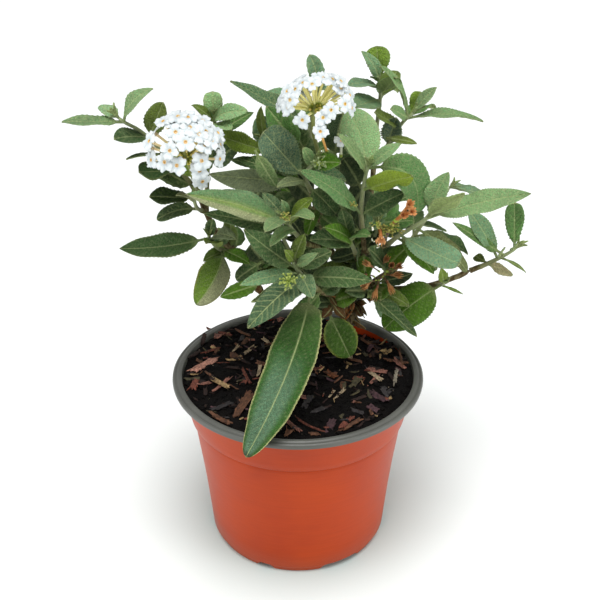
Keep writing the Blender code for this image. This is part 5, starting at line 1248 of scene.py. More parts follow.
dryShoots = {
    "dry_leaves": {
        "stub": "346 298 24, 343 301 20", "radii": (1.1, 0.8),
        "stem": "341 303 17, 336 303 13, 331 302 10",
        "leaves": """
    dry oval 9, 334 303, 322 318 10, 0.5 -0.6 0.6, 0.25 0 -45
    dry oval 8, 333 303, 345 318 6, -0.5 -0.6 0.6, 0.25 0 -45
    """},
    "dry_leaves_left": {
        "stub": "262 263 32, 258 268 26", "radii": (1.1, 0.7),
        "stem": "256 271 22, 253 276 17, 251 282 13",
        "leaves": """
    dry lance 7, 253 277, 263 297 10, 0.5 -0.6 0.6, 0.2 0 -45
    dry oval 7, 252 279, 243 292 6, -0.5 -0.6 0.6, 0.2 0 -45
    """},
    "spent_flowers": {
        "stub": "384 246 12, 385 240 5", "radii": (0.9, 0.7),
        "stem": "386 237 2, 390 229 -4, 397 221 -9, 404 214 -13",
        "leaves": ""},
    "dry_cluster": {
        "stub": "366 287 32, 374 283 24", "radii": (1.0, 0.7),
        "stem": "377 281 20, 381 277 15, 385 272 11",
        "leaves": ""},
}

# The shoots at the back follow a rule: each leaves the wood at a turn about the plant, reaches out and up,
# and carries leaves in opposite pairs.
backRule = {
    "seed": 11, "along": 0.62, "turn": 62, "turnLess": 14, "stray": 8, "shrink": 0.12, "lift": (-0.25, 0.1),
    "liftMore": 0.22, "long": (34, 44), "wide": (9.5, 12.5), "arch": 0.12, "stubBend": (0, 3, 2),
    "radii": (1.5, 0.9), "tones": ("dark", "green", "sea", "felted"),
}
backShoots = {
    "shoot_back_left": {"turn": 152, "start": (10, 46, 142), "reach": 62, "rise": 46, "pairs": 4},
    "shoot_back_middle": {"turn": 110, "start": (24, 56, 146), "reach": 46, "rise": 58, "pairs": 3},
    "shoot_back_right": {"turn": 63, "start": (42, 54, 142), "reach": 52, "rise": 40, "pairs": 3},
    "shoot_back_far_right": {"turn": 28, "start": (56, 42, 146), "reach": 56, "rise": 44, "pairs": 3},
    "shoot_back_low": {"turn": 92, "start": (30, 52, 128), "reach": 44, "rise": 6, "pairs": 3},
}
wood = {
    "fork": Vector((33, 34, 128)),
    "trunk": ((20, 34, 91.2), (21, 34, 102.2), (24, 34, 108), (29, 34, 116), (33, 34, 128)),
    "trunkRadii": (4.2, 3.2), "radii": (2.3, 1.4), "stubFoot": 1.5,
    "tones": (tone(88, 76, 54), tone(104, 92, 62), tone(128, 118, 84), tone(118, 118, 72)),
    "branches": (
        "366 287 32, 390 290 28, 430 285.5 24, 454 277.6 22, 470 270.5 20",
        "347 282 33, 331 250 28, 319 218 22, 314 200 17",
        "332 285 36, 300 274 36, 262 263 32, 234 250 26, 216 232 20, 206 212 16, 199 196 13",
        "361 272 28, 364 252 20, 363 238 14",
        "346 298 24, 334 296 16, 324 293 10",
        "360 268 42, 368 215 46, 374 165 43",
        "348 270 50, 338 235 54, 328 200 54",
    ),
}


def roundedLine(points, steps):  # a rounded line through the points, with a few steps between each two
    line = []
    last = len(points) - 1
    for index in range(last):
        before, start = points[max(index - 1, 0)], points[index]
        end, after = points[index + 1], points[min(index + 2, last)]
        for step in range(steps):
            t = step / steps
            line.append(0.5 * (2 * start + (end - before) * t
                               + (2 * before - 5 * start + 4 * end - after) * t * t
                               + (3 * start - before - 3 * end + after) * t ** 3))
    line.append(points[last])
    return line


trunkLine = roundedLine([Vector(place) for place in wood["trunk"]], 6)
branchLines = [roundedLine([wood["fork"]] + placesOf(row), 8) for row in wood["branches"]]


def unitBar(sides, rows, material):  # an upright round bar of length 1, drawn up ring by ring
    bpy.ops.mesh.primitive_circle_add(vertices=sides, radius=1, fill_type="NGON")
    bar = newest()
    editAll(bar)
    for row in range(rows):
        bpy.ops.mesh.extrude_region_move(TRANSFORM_OT_translate={"value": (0, 0, 1 / rows)})
    leaveEdit()
    faceOutwards(bar)
    bar.data.materials.append(material)
    return bar


def barWays(line, rows):  # centres and square ways along a line, at even steps
    points = np.array([tuple(point) for point in line])
    lengths = np.concatenate(([0], np.cumsum(np.linalg.norm(np.diff(points, axis=0), axis=1))))
    at = np.linspace(0, lengths[-1], rows + 1)
    centres = np.column_stack([np.interp(at, lengths, points[:, axis]) for axis in range(3)])
    ways = np.gradient(centres, axis=0)
    ways /= unitRows(ways)
    across = np.cross(ways[0], (0.3, 0.9, 0.2))
    acrosses = []
    for way in ways:
        across = across - way * across.dot(way)
        across /= np.linalg.norm(across)
        acrosses.append(across)
    acrosses = np.array(acrosses)
    return centres, acrosses, np.cross(ways, acrosses), lengths[-1]


def shapeBar(unit, rows, line, radii, colours, knots=0.0, seed=0, profile=None):
    bar = copyOf(unit)
    spots = spotsOf(bar)
    row = np.round(spots[:, 2] * rows).astype(int)
    t = row / rows
    centres, across, other, length = barWays(line, rows)
    radius = radii[0] + (radii[1] - radii[0]) * t
    if profile is not None:
        radius = radius * profile(t)
    if knots:
        for strength, size, stretch, shift in ((knots, 1.3, 0.28, seed * 7.7), (knots * 0.5, 3, 0.8, seed)):
            swell = [noise.noise((spot[0] * size, spot[1] * size, share * length * stretch + shift))
                     for spot, share in zip(spots, t)]
            radius = radius * (1 + strength * np.array(swell))
    place = centres[row] + across[row] * (spots[:, 0] * radius)[:, None] \
        + other[row] * (spots[:, 1] * radius)[:, None]
    writeSpots(bar, place)
    start, end = np.array(colours[0]), np.array(colours[1])
    writeColour(bar, "tint", start * (1 - t[:, None]) + end * t[:, None])
    return bar


settling = {
    "steps": (0, -4, 4, -8, 8, -12, 12, -17, 17, -22, 22, -28, 28), "arches": (0, 0.05, -0.05, 0.1, -0.1),
    "nearer": 0.02,
}


def settleBlade(entry, tree):  # the tip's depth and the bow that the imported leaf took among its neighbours
    best, bestGap = None, 1e9
    for step in settling["steps"]:
        for arch in settling["arches"]:
            trial = dict(entry)
            trial["tipAt"] = entry["tipAt"] + entry["tipWay"] * step
            trial["arch"] = entry["arch"] + arch
            gap = coarseGap(trial, tree)
            if gap < bestGap - settling["nearer"]:
                best, bestGap = trial, gap
    return best


def coarseGap(entry, tree):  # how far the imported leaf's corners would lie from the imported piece's own
    plan = leafPlan
    chord = (entry["tipAt"] - entry["baseAt"]).length
    steps = packedSteps(chord)
    fold = math.radians(entry["fold"])
    index = np.arange(2, steps + 1)
    stalk = plan["stalk"]
    t = stalk + (1 - stalk) * (index - 1) / (steps - 1)
    centre, normal, side = bladeWays(entry, t)
    b = (t - stalk) / (1 - stalk)
    half = entry["wide"] / 2 * plan["packedFull"] * outlineShare(entry["form"], b, "packedForms")
    half = np.maximum(half * (1 + 0.04 * (-1.0) ** index), plan["stalkHalf"])
    wave = plan["wave"] * half * np.sin(2.1 * index + entry["wide"])
    corners = [centre[-1] + normal[-1] * plan["packedHalf"]]
    for sign in (-1, 1):
        edge = centre + side * (sign * half * math.cos(fold))[:, None] \
            + normal * (half * math.sin(fold) - sign * wave + plan["packedHalf"])[:, None]
        corners += list(edge[:-1])
    return sum(tree.find(corner)[2] for corner in corners) / len(corners)


def treeOf(nodeName):
    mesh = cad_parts[nodeName].data
    tree = kdtree.KDTree(len(mesh.vertices))
    for vertex in mesh.vertices:
        tree.insert((vertex.co - potAxis) / mm, vertex.index)
    tree.balance()
    return tree


def stemLine(points):
    way = (points[1] - points[0]).normalized()
    return [points[0] + way * 0.3] + points[1:]


def photographedShoots():
    made = {}
    for name, plan in {**shoots, **dryShoots}.items():
        stem = placesOf(plan["stem"])
        fine = [point for point in roundedLine(stem, 8) if (point - stem[0]).length > 3]

        def footAt(across, down):
            return min(fine, key=lambda point: (pixelOf(point) - Vector((across, down))).length)

        made[name] = {"stub": placesOf(plan["stub"]) + [stem[0]], "line": stemLine(stem),
                      "radii": plan["radii"], "leaves": readLeaves(plan["leaves"], footAt)}
    return made


def hiddenShoots():
    made = {}
    rule = backRule
    draw = random.Random(rule["seed"])
    for name, plan in backShoots.items():
        turn = math.radians(plan["turn"])
        out = Vector((math.cos(turn), math.sin(turn), 0))
        start = Vector(plan["start"])
        line = stemLine([start + out * plan["reach"] * share * rule["along"]
                         + Vector((0, 0, plan["rise"] * share ** 0.8)) for share in (0, 0.33, 0.66, 1)])
        entries = []
        for pair in range(plan["pairs"]):
            share = 0.3 + 0.7 * pair / (plan["pairs"] - 1)
            place = line[round((len(line) - 1) * share)]
            size = 1 - rule["shrink"] * pair
            for side in (-1, 1):
                stray = draw.uniform(-rule["stray"], rule["stray"])
                spread = math.radians(rule["turn"] - rule["turnLess"] * pair + stray) * side
                lean = out.copy()
                lean.rotate(Matrix.Rotation(spread, 3, "Z"))
                lift = draw.uniform(*rule["lift"]) + rule["liftMore"] * pair
                reach = draw.uniform(*rule["long"]) * size
                entries.append(dict(
                    leafPlan["bow"], baseAt=place, arch=rule["arch"], wide=draw.uniform(*rule["wide"]) * size,
                    tipAt=place + (lean + Vector((0, 0, lift))).normalized() * reach, form="lance",
                    tipWay=Vector((0, 0, 1)), up=Vector((-lean.x * 0.3, -lean.y * 0.3, 1)),
                    tone=rule["tones"][pair]))
        stub = [wood["fork"], (wood["fork"] + start) / 2 + Vector(rule["stubBend"]), start]
        made[name] = {"stub": stub, "line": line, "radii": rule["radii"], "leaves": entries}
    return made


tipPlan = {"count": 4, "long": (3.5, 7.5), "wide": (1.6, 2.6), "fold": (10, 35), "seed": 77}


def crownLeaves(line, draw):  # a few tiny unopened leaves round the end of a stem
    way = (line[-1] - line[-2]).normalized()
    first = way.orthogonal().normalized()
    other = way.cross(first)
    entries = []
    start = draw.uniform(0, 6)
    for number in range(tipPlan["count"]):
        turn = start + number * 2.4
        out = first * math.cos(turn) + other * math.sin(turn)
        long = draw.uniform(*tipPlan["long"])
        entries.append(dict(
            wide=draw.uniform(*tipPlan["wide"]), fold=draw.uniform(*tipPlan["fold"]), form="lance", arch=0.08,
            sway=0.0, tone="bud", up=way - out * 0.6, baseAt=line[-1] - way * 0.5,
            tipAt=line[-1] + (way + out * draw.uniform(0.25, 0.9)).normalized() * long))
    return entries


def smoothBar(t):  # a rounded end
    return np.where(t > 0.97, np.sqrt(np.clip(1 - ((t - 0.97) / 0.03) ** 2, 0.04, 1)), 1)


def leafUnits(kind):
    return [(limit, rows, unitBlade(rows, columns, leafBlade)) for limit, rows, columns in leafPlan[kind]]


def stemBar(unit, line, radii, colours, seed):  # a shoot's stem, from a little inside its stub of wood
    begin = line[0] - (line[1] - line[0]).normalized() * 1.2
    return shapeBar(unit, barRows["stem"], [begin] + roundedLine(line, 6), radii, colours, 0.12, seed,
                    smoothBar)


barRows = {"stem": 24, "trunk": 60, "branch": 30, "twig": 8, "tube": 20, "bud": 12}
stemTones = {"fresh": (tone(112, 112, 68), tone(140, 152, 108)), "dry": (tone(92, 66, 44), tone(110, 74, 46))}
pieceWords = {"shoot": "foliage", "spur": "foliage_spur", "dry": "withered", "spent": "withered"}


def buildShoots():
    fineUnits, plainUnits = leafUnits("units"), leafUnits("plainUnits")
    bar = unitBar(10, barRows["stem"], greenStem)
    draw = random.Random(tipPlan["seed"])
    plans = photographedShoots()
    unseen = hiddenShoots()
    plans.update(unseen)
    seed = 0
    for name, plan in plans.items():
        tree = treeOf(name)
        dry = name in dryShoots
        units = plainUnits if name in unseen or "inner" in name else fineUnits
        parts = [stemBar(bar, plan["line"], plan["radii"], stemTones["dry" if dry else "fresh"], seed)]
        for entry in plan["leaves"]:
            parts.append(shapeBlade(units, settleBlade(entry, tree), seed))
            seed += 1
        if not dry:
            for entry in crownLeaves(roundedLine(plan["line"], 6), draw):
                parts.append(shapeBlade(units, entry, seed))
                seed += 1
        pieceName = name
        for word, other in pieceWords.items():
            pieceName = pieceName.replace(word, other)
        finishPiece(joined(parts, pieceName), "dry_leaf" if dry else "leaf_green", name)
    removeAll([unit for limit, rows, unit in fineUnits + plainUnits] + [bar])
    return plans


def buildWoodwork(plans):
    trunk = unitBar(28, barRows["trunk"], woodyStem)
    branch = unitBar(12, barRows["branch"], woodyStem)
    dark, brown, beige, green = wood["tones"]
    rows = barRows["branch"]
    parts = [shapeBar(trunk, barRows["trunk"], trunkLine, wood["trunkRadii"], (dark, brown), 0.4, 3)]
    for number, line in enumerate(branchLines):
        parts.append(shapeBar(branch, rows, line, wood["radii"], (brown, beige), 0.3, 5 + number, smoothBar))
    for number, plan in enumerate(plans):
        radii = (wood["stubFoot"], plan["radii"][0])
        parts.append(shapeBar(branch, rows, roundedLine(plan["stub"], 6), radii, (beige, green), 0.15,
                              30 + number, smoothBar))
    removeAll((trunk, branch))
    finishPiece(joined(parts, "framework"), "woody_stem", "branches")


plans = buildShoots()
print("shoots made")

# Small leaves fill the middle of the plant between the shoots, many of them in the deep tone, painted shade;
# dry scraps hang about the trunk.
innerPlan = {
    "leaves": {"count": 84, "middle": (10, 24, 166), "radii": (50, 22, 34), "long": (13, 27), "wide": (7, 11),
               "lean": (0, 0.25, 0.25),
               "tones": ("deep", "dark", "green", "deep", "olive", "grass", "deep", "blue")},
    "scraps": {"count": 46, "middle": (30, 30, 132), "radii": (34, 24, 26), "long": (5, 13), "wide": (3, 6.5),
               "lean": (0, -0.1, -0.3), "tones": ("dry", "dry", "spent", "mouldy"), "folds": (-60, -45, 50),
               "arch": (0.1, 0.4)},
    "twigs": {"count": 34, "long": (5, 15), "bend": 1.5, "thick": (0.35, 0.7), "end": 0.25, "knots": 0.4,
              "tones": (tone(78, 62, 40), tone(112, 92, 58), tone(52, 38, 26))},
    "seed": 131,
}
innerLeaves = """
    grass lance 8, 263 283 -10, 220 297 -8, 0 -0.8 0.6, 0.03
    dark oval 11, 243 140 18, 214 165 22, 0 -0.7 0.7, 0.05
    dark lance 6, 266 167 22, 231 160 26, 0 -0.6 0.8, 0.05
    greyUnder lance 8, 255 150 -6, 277 187 -4, -0.3 -0.8 0.5, 0.08
    deep oval 10, 269 176 12, 252 204 12, 0 -0.8 0.6, 0.05
    deep oval 12, 361 188 14, 343 158 14, 0 -0.8 0.6, 0.08
    dark oval 12, 306 152 16, 287 121 18, 0 -0.8 0.6, 0.05
    olive lance 5, 386 138 20, 417 143.5 16, 0 -0.5 0.9, 0.03
    dark oval 9, 352 218 8, 330 196 10, 0 -0.8 0.6, 0.05
    green oval 9, 318 214 12, 340 232 10, 0 -0.8 0.6, 0.05
    dark oval 9, 262 262 6, 236 280 8, 0 -0.7 0.7, 0.05
    dark oval 7, 232 232 14, 214 246 14, 0 -0.7 0.7, 0.05
    olive lance 2, 501 258 17, 526 272.5 12, 0 -0.5 0.9, 0.02 -0.06
    lime lance 1.8, 441 285 16, 463 294 10, 0 -0.5 0.9, 0.02
    lime lance 10, 194 182 0, 176 138 2, 0 -0.8 0.6, 0.03
    dark lance 10, 208 176 4, 198 142 8, 0 -0.8 0.6, 0.03
    deep oval 13, 312 199 22, 292 177 24, 0 -0.8 0.6, 0.05
    deep oval 13, 316 226 22, 336 206 24, 0 -0.8 0.6, 0.05
    deep oval 10, 264 262 14, 250 246 16, 0 -0.8 0.6, 0.05
    deep oval 12, 350 208 20, 366 186 22, 0 -0.8 0.6, 0.05
    green lance 13, 300 152 14, 266 106 14, 0 -0.8 0.6, 0.05
    deep oval 16, 334 158 28, 343 113 30, 0 -0.8 0.6, 0.05
    dark oval 15, 312 180 24, 298 134 28, 0 -0.8 0.6, 0.05
    dark oval 12, 342 176 24, 358 146 26, 0 -0.8 0.6, 0.05
    dark oval 12, 402 238 2, 437 270 -2, 0 -0.6 0.8, 0.03
    dark lance 10, 196 188 8, 148 163 6, 0 -0.8 0.6, 0.03
    sage lance 2.2, 511 250 12, 518 243 6, 0 -0.5 0.9, 0.02
    sage lance 2.6, 498 258 14, 505 247 6, 0 -0.5 0.9, 0.02
    green lance 8, 300 290 -2, 281 300 2, 0 -0.7 0.7, 0.05
"""


def innerEntries(plan, lines, draw):
    middle, radii = Vector(plan["middle"]), plan["radii"]
    places = [point for line in lines for point in line
              if sum(((point[axis] - middle[axis]) / radii[axis]) ** 2 for axis in range(3)) < 1]
    entries = []
    for number in range(plan["count"]):
        place = draw.choice(places)
        out = Vector((draw.gauss(0, 1), draw.gauss(0, 0.7), draw.gauss(0, 0.6))).normalized()
        out += Vector(plan["lean"])
        facing = (view["point"] - place).normalized() * 0.8
        entries.append(dict(
            baseAt=place, wide=draw.uniform(*plan["wide"]), form=draw.choice(("lance", "lance", "oval")),
            arch=draw.uniform(-0.05, 0.18), sway=draw.uniform(-0.1, 0.1), fold=draw.uniform(5, 30),
            tone=draw.choice(plan["tones"]), tipAt=place + out.normalized() * draw.uniform(*plan["long"]),
            up=facing + Vector((draw.uniform(-0.5, 0.5), 0, 0.7))))
    return entries


def twigParts(draw):
    twig = unitBar(6, barRows["twig"], woodyStem)
    plan = innerPlan["twigs"]
    made = []
    for number in range(plan["count"]):
        line = draw.choice([trunkLine] + branchLines)
        place = line[draw.randrange(len(line) // 2 + 1)]
        out = Vector((draw.gauss(0, 1), draw.gauss(-0.2, 0.7), draw.gauss(0.1, 0.8))).normalized()
        end = place + out * draw.uniform(*plan["long"])
        bend = plan["bend"]
        shift = Vector((draw.uniform(-bend, bend), 0, draw.uniform(-bend, bend)))
        shade = draw.choice(plan["tones"])
        radii = (draw.uniform(*plan["thick"]), plan["end"])
        made.append(shapeBar(twig, barRows["twig"], [place, (place + end) / 2 + shift, end], radii,
                             (shade, shade), plan["knots"], number))
    removeAll((twig,))
    return made


def buildInside(plans):
    units = leafUnits("plainUnits")
    draw = random.Random(innerPlan["seed"])
    stems = [roundedLine(plan[key], 6) for key in ("line", "stub") for plan in plans.values()]
    for name, lines, slotName in (("leaves", branchLines + stems, "leaf_green"),
                                  ("scraps", branchLines + [trunkLine] * 3, "dry_leaf")):
        entries = innerEntries(innerPlan[name], lines, draw)
        if name == "leaves":
            entries += readLeaves(innerLeaves, atPixel)
        made = []
        for number, entry in enumerate(entries):
            if name == "scraps":
                entry["fold"] = draw.choice(innerPlan[name]["folds"])
                entry["arch"] = draw.uniform(*innerPlan[name]["arch"])
            made.append(shapeBlade(units, entry, 900 + number))
        if name == "scraps":
            made += twigParts(draw)
        finishPiece(joined(made, "inner_" + name), slotName)
    removeAll([unit for limit, rows, unit in units])


buildInside(plans)
print("inner leaves and scraps made")

# Flower heads

# Each floret is given by its pixel and how far it turns from its tube towards the camera. A loose one has its
# place, the place that its long tube grows from, its turn and the tube's colours.
heads = {
    "flower_left": {
        "stub": "199 196 13, 198 190 7", "stem": "197.5 188 5, 194 178 -4, 188 160 -14, 180 145 -19",
        "root": (187, 158, -12), "centre": (184, 147, -17), "radii": (18.5, 13.0, 16.0), "size": 1.16,
        "florets": """
    169.7 150.8 1.2, 176.7 165.5 1.2, 175.5 132 0.9, 185.5 142 0.9, 201.7 160.8 0.8, 199.5 170.8 0.9,
    202.5 181.5 0.7, 164.5 162 0.3, 190 127 0.4, 199 134 0.3, 205 145 0.2, 206 131 0.1, 183 122 0.3,
    174 121 0.2, 163 121 0, 197 122 0, 188 117 0, 178 116 0, 149 141 0, 151 160 0.1,
    212 140 0, 220 159 0.1""",
        "loose": (), "hidden": 11, "buds": 16, "seed": 3,
        "tubeEnds": (tone(250, 240, 140), tone(255, 230, 190)),
    },
    "flower_top": {
        "stub": "319 218 22, 327 196 18", "stem": "327 192 17, 323 170 14, 315 140 8, 313 122 4, 315 105 2",
        "root": (315, 110, 6), "centre": (316, 103, 2), "radii": (18.0, 14.0, 14.0), "size": 1.04,
        "florets": """
    302.3 120 1.3, 323 117.5 1.3, 331 110 0.4, 288 107.5 0.5, 282.5 98 0, 290 100 0.3, 295 89 0.1,
    287 91 0, 303 82.5 0, 312 84 0, 324 77.5 0.1, 332.5 79 0.2, 341 88 0.5, 341 81 0, 350 95 0,
    345 104 0.4, 352 108 0, 317 78 0, 279 104 0""",
        "loose": (("320.3 131.5 -13, 329 158 2", 1.4, (tone(226, 150, 70), tone(252, 200, 120))),
                  ("341.5 141 4, 341 157 9", 0.0, (tone(206, 208, 176), tone(236, 236, 220)))),
        "hidden": 11, "buds": 14, "seed": 5, "tubeEnds": (tone(255, 255, 190), tone(255, 240, 150)),
    },
}
floretPlan = {"lobe": 4.3, "notch": 2.3, "throat": 0.58, "tube": 0.64, "sides": 36,
              "calyx": tone(146, 166, 58), "rings": (0.82, 0.62, 0.42, 0.26, 0.17), "funnel": (0.12, 0.3)}
headStem = {"radii": (1.3, 1.0), "tones": (tone(118, 122, 66), tone(128, 136, 70))}
budPlan = {"radius": 0.55, "reach": (6.0, 10.5), "tones": (tone(150, 160, 70), tone(214, 196, 110))}
# The inner tone is painted shade, towards each floret's throat and in the creases between its lobes.
floretTones = {
    "fresh": {"rim": tone(225, 231, 232), "inner": tone(178, 191, 197), "ring": tone(238, 186, 40),
              "mouth": tone(96, 48, 6), "size": 1.0, "crumple": 0.12},
    "spent": {"rim": tone(206, 146, 86), "inner": tone(168, 100, 46), "ring": tone(150, 84, 38),
              "mouth": tone(60, 30, 14), "size": 0.6, "crumple": 1.2},
    "husk": {"rim": tone(184, 128, 70), "inner": tone(136, 84, 42), "ring": tone(96, 56, 28),
             "mouth": tone(36, 22, 14), "size": 0.42, "crumple": 2.6},
}


def unitCorolla():  # a disc with a short funnel, made from its rim in to the throat's foot
    bpy.ops.mesh.primitive_circle_add(vertices=floretPlan["sides"], radius=1)
    disc = newest()
    editAll(disc)
    radius = 1.0
    for nextRadius in floretPlan["rings"]:
        bpy.ops.mesh.extrude_edges_move(TRANSFORM_OT_translate={"value": (0, 0, 0)})
        share = nextRadius / radius
        bpy.ops.transform.resize(value=(share, share, 1))
        radius = nextRadius
    for depth in floretPlan["funnel"]:
        bpy.ops.mesh.extrude_edges_move(TRANSFORM_OT_translate={"value": (0, 0, -depth)})
    bpy.ops.mesh.select_all(action="SELECT")
    bpy.ops.mesh.normals_make_consistent(inside=False)
    leaveEdit()
    applyModifier(disc, "SOLIDIFY", thickness=0.06, offset=-1.0)
    faceOutwards(disc)
    disc.data.materials.append(petalSkin)
    return disc


def ruffle(angle, draw, first, second, strengths):  # two waves about the floret, each begun by chance
    return strengths[0] * np.sin(angle * first + draw.uniform(0, 6)) \
        + strengths[1] * np.sin(angle * second + draw.uniform(0, 6))


def perLobe(draw, low, high, lobeNumber):
    return np.array([draw.uniform(low, high) for lobe in range(4)])[lobeNumber]


def shapeCorolla(unit, centre, way, spin, draw, look):
    corolla = copyOf(unit)
    spots = spotsOf(corolla)
    radius = np.hypot(spots[:, 0], spots[:, 1])
    angle = np.arctan2(spots[:, 1], spots[:, 0])
    lobeNumber = np.round(angle / (math.pi / 2)).astype(int) % 4
    skew = angle + ruffle(angle, draw, 1, 3, (0.12, 0.07))
    lobed = np.abs(np.cos(2 * skew)) ** 0.4
    mouth, throat = floretPlan["rings"][-1], floretPlan["throat"]
    outer = floretPlan["notch"] + (floretPlan["lobe"] - floretPlan["notch"]) * lobed
    outer = outer * (1 + ruffle(angle, draw, 7, 13, (0.06, 0.06)))
    sizes = perLobe(draw, 0.9, 1.08, lobeNumber) * look["size"]
    share = np.clip((radius - mouth) / (1 - mouth), 0, 1)
    petal = radius > mouth + 0.001
    reach = np.where(petal, throat + (outer * sizes - throat) * share ** 0.9, radius * throat / mouth)
    tilts = perLobe(draw, -0.35, 0.3, lobeNumber)
    waves = ruffle(angle, draw, 9, 17, (0.3, 0.15)) * (1 + 2.2 * look["crumple"])
    cup = 0.9 * share - draw.uniform(0.9, 1.7) * share ** 2.2 + look["crumple"] * 2.4 * share
    lift = spots[:, 2] * 4.5 + cup + tilts * share * 1.6 + waves * share ** 2
    first = way.orthogonal().normalized()
    other = way.cross(first)
    across = np.array(first * math.cos(spin) + other * math.sin(spin))
    up = np.array(other * math.cos(spin) - first * math.sin(spin))
    flat = across * (reach * np.cos(angle))[:, None] + up * (reach * np.sin(angle))[:, None]
    writeSpots(corolla, np.array(centre) + flat + np.array(way) * lift[:, None])
    colours = np.tile(np.array(look["rim"]), (len(spots), 1))
    creaseShade = np.exp(-((np.abs(np.cos(2 * angle)) / 0.34) ** 2))  # painted shade in grey lines between the lobes
    # The inner tone is painted shade towards the throat and along the creases.
    colours = mixInto(colours, np.maximum(blend(0.6, 0.05, share), creaseShade) * 0.72 * petal, look["inner"])
    colours = mixInto(colours, blend(0.27, 0.19, radius) * 0.95, look["ring"])
    colours = mixInto(colours, blend(-0.06, -0.24, spots[:, 2]) * (radius < 0.2), look["mouth"])
    writeColour(corolla, "tint", colours * draw.uniform(0.9, 1.0))
    return corolla


def calyxProfile(t):  # a swollen green cup at the foot, then the slim tube that widens to its mouth
    cup = 1.45 * blend(0.0, 0.05, t) * (1 - blend(0.2, 0.26, t)) + 1.0 * blend(0.2, 0.26, t)
    return np.maximum(cup, 0.3) * (1 + 0.18 * blend(0.85, 1.0, t))


def budProfile(t):  # a cup with a club-shaped closed bud
    club = 0.75 + 0.55 * blend(0.55, 0.85, t)
    return calyxProfile(t) * club * np.sqrt(np.clip(1 - blend(0.88, 1.0, t) ** 2, 0.02, 1))


golden = math.pi * (3 - math.sqrt(5))


def shapeTube(unit, rows, root, end, way, radius, colours, profile):
    length = (end - root).length
    bend = end - way * length * 0.45
    line = [root * (1 - t) ** 2 + bend * 2 * t * (1 - t) + end * t * t for t in np.linspace(0, 1, 9)]
    tube = shapeBar(unit, rows, line, (radius, radius), colours, 0.08, length, profile)
    row = np.round(spotsOf(unit)[:, 2] * rows) / rows
    full = np.array([value.color[:3] for value in tube.data.attributes["tint"].data])
    writeColour(tube, "tint", mixInto(full, blend(0.27, 0.20, row), floretPlan["calyx"]))
    return tube


def headPlaces(plan, centre):  # where the florets sit, and how far each turns towards the camera
    radii = Vector(plan["radii"])
    spots = []
    for row in plan["florets"].split(","):
        across, down, face = numbers(row)
        spot = atPixel(across, down, centre.y)
        for step in range(4):  # nears the head's round front along the pixel's line of sight
            share = min(0.95, ((spot.x - centre.x) / radii.x) ** 2 + ((spot.z - centre.z) / radii.z) ** 2)
            spot = atPixel(across, down, centre.y - radii.y * math.sqrt(1 - share))
        spots.append((spot, face))
    for index in range(plan["hidden"]):  # round the back
        height = 0.85 - 1.1 * index / (plan["hidden"] - 1)
        ring = math.sqrt(1 - height * height)
        turn = math.radians(90) + (golden * index) % math.pi - math.pi / 2
        spots.append((centre + Vector((radii.x * ring * math.cos(turn), radii.y * ring * math.sin(turn),
                                       radii.z * height)), 0.0))
    return spots


def buildHead(name, plan, corollaUnit, tubeUnit, stemUnit):
    root, centre = atPixel(*plan["root"]), atPixel(*plan["centre"])
    tubes = [stemBar(stemUnit, stemLine(placesOf(plan["stem"])), headStem["radii"], headStem["tones"], 1)]
    draw = random.Random(plan["seed"])
    look = dict(floretTones["fresh"], size=plan["size"])
    petals = []

    def addFloret(spot, toFoot, out, face, spin, colours):
        way = (out.normalized() + (view["point"] - spot).normalized() * face).normalized()
        petals.append(shapeCorolla(corollaUnit, spot, way, spin(), draw, look))
        tubes.append(shapeTube(tubeUnit, barRows["tube"], toFoot, spot - way * 0.5, way, floretPlan["tube"],
                               colours, calyxProfile))

    for spot, face in headPlaces(plan, centre):
        out = spot - root
        addFloret(spot, root + out * 0.06, out, face, lambda: draw.uniform(0, math.pi / 2), plan["tubeEnds"])
    for places, face, colours in plan["loose"]:
        spot, foot = placesOf(places)
        addFloret(spot, foot, spot - foot, face, lambda: 0.4, colours)
    for index in range(plan["buds"]):
        turn = index * golden
        height = draw.uniform(0.1, 0.95)
        ring = math.sqrt(1 - height * height)
        out = Vector((math.cos(turn) * ring, math.sin(turn) * ring * 0.8 - 0.1, height)).normalized()
        reach = draw.uniform(*budPlan["reach"])
        tubes.append(shapeTube(tubeUnit, barRows["tube"], root + out * 1.5, root + out * reach, out,
                               budPlan["radius"], budPlan["tones"], budProfile))
    finishPiece(joined(petals, name + "_corollas"), "white_petal", name)
    finishPiece(joined(tubes, name + "_tubes"), "flower_tube")


# Spent florets, each with its place and the place that its tube grows from, and clusters of small buds:
# pixel, depth, how many, how far they spread and their colours.
spent = {
    "spent_flowers": {
        "look": "spent", "seed": 61, "tube": (0.85, tone(120, 70, 34), tone(186, 116, 58)),
        "florets": ("408.5 205.7 -16, 399 219 -10", "411 212 -17, 394 222 -9", "402.5 215.5 -14, 391 226 -8",
                    "380.7 237 -12, 379 225 -6")},
    "dry_cluster": {
        "look": "husk", "seed": 67, "tube": (0.36, tone(70, 46, 28), tone(120, 78, 46)),
        "florets": ("396 268 6, 386 272 10", "393 275 4, 384 274 10", "388 283 8, 382 276 12",
                    "371 266 4, 380 272 10", "384 262 8, 383 270 11", "377 288 10, 379 279 13",
                    "365 275 8, 375 277 12", "369 283 8, 377 280 12", "391 266 2, 386 272 10")},
}
budSeed = 43
budTones = {
    "gold": (tone(110, 122, 30), tone(196, 190, 80)), "fresh": (tone(104, 122, 44), tone(152, 166, 80)),
    "old": (tone(96, 92, 36), tone(146, 142, 66)), "white": (tone(170, 170, 120), tone(232, 232, 218)),
    "sage": (tone(96, 116, 66), tone(140, 156, 106)),
}
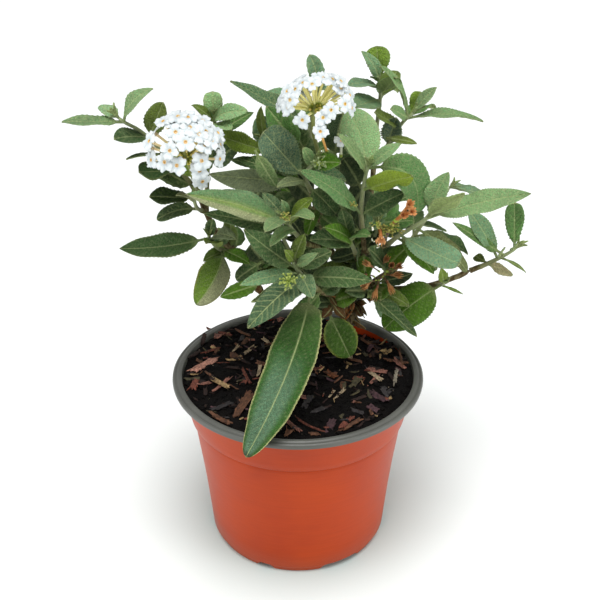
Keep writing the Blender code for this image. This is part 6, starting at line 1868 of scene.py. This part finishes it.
budClusters = (
    (289, 281, -34, 34, 5.6, "fresh"), (318.6, 164, -8, 26, 5.0, "sage"), (286, 216, -26, 16, 3.4, "old"),
    (375.7, 223, -10, 12, 4.2, "old"), (392, 228, -8, 26, 6.6, "old"), (383, 231, -8, 10, 3.6, "old"),
    (373, 240, -12, 3, 1.4, "white"), (377, 246, -12, 3, 1.4, "white"), (372, 229, -12, 2, 1.2, "white"),
    (302, 278, -34, 8, 2.8, "sage"), (354, 205, -6, 10, 3.2, "old"), (315, 109, 4, 30, 5.0, "gold"),
    (187, 158, -14, 26, 6.0, "gold"),
)


def buildSpent(name, plan, corollaUnit, tubeUnit):
    draw = random.Random(plan["seed"])
    look = floretTones[plan["look"]]
    radius, foot, mouth = plan["tube"]
    tubes, petals = [], []
    for places in plan["florets"]:
        spot, root = placesOf(places)
        lean = Vector((draw.uniform(-0.3, 0.3), -0.3, draw.uniform(-0.2, 0.3)))
        way = ((spot - root).normalized() + lean).normalized()
        petals.append(shapeCorolla(corollaUnit, spot, way, draw.uniform(0, 1.5), draw, look))
        tubes.append(shapeTube(tubeUnit, barRows["tube"], root, spot - way * 0.4, way, radius, (foot, mouth),
                               calyxProfile))
    florets, tubes = joined(petals, name + "_florets"), joined(tubes, name + "_tubes")
    finishPiece(florets, "dry_leaf")
    finishPiece(tubes, "dry_leaf")


def buildBuds():
    budUnit = unitBar(6, barRows["bud"], tubeSkin)
    draw = random.Random(budSeed)
    made = []
    for across, down, back, count, spread, colours in budClusters:
        middle = atPixel(across, down, back)
        for number in range(count):
            out = Vector((draw.gauss(0, 1), draw.gauss(-0.4, 0.6), draw.gauss(0.25, 0.8))).normalized()
            root = middle + out * draw.uniform(0.0, 0.5) * spread
            end = root + out * draw.uniform(0.35, 0.6) * spread
            made.append(shapeTube(budUnit, barRows["bud"], root, end, out, draw.uniform(0.32, 0.5),
                                  budTones[colours], budProfile))
    removeAll((budUnit,))
    finishPiece(joined(made, "bud_clusters"), "flower_tube")


def buildHeads():
    corollaUnit = unitCorolla()
    tubeUnit = unitBar(8, barRows["tube"], tubeSkin)
    stemUnit = unitBar(10, barRows["stem"], tubeSkin)
    for name, plan in heads.items():
        buildHead(name, plan, corollaUnit, tubeUnit, stemUnit)
    for name, plan in spent.items():
        buildSpent(name, plan, corollaUnit, tubeUnit)
    removeAll((corollaUnit, tubeUnit, stemUnit))
    buildBuds()


buildHeads()
print("flower heads made")
stubs = list(plans.values())
for plan in heads.values():
    stubs.append({"stub": placesOf(plan["stub"]) + placesOf(plan["stem"])[:1], "radii": headStem["radii"]})
buildWoodwork(stubs)
print("woodwork made")
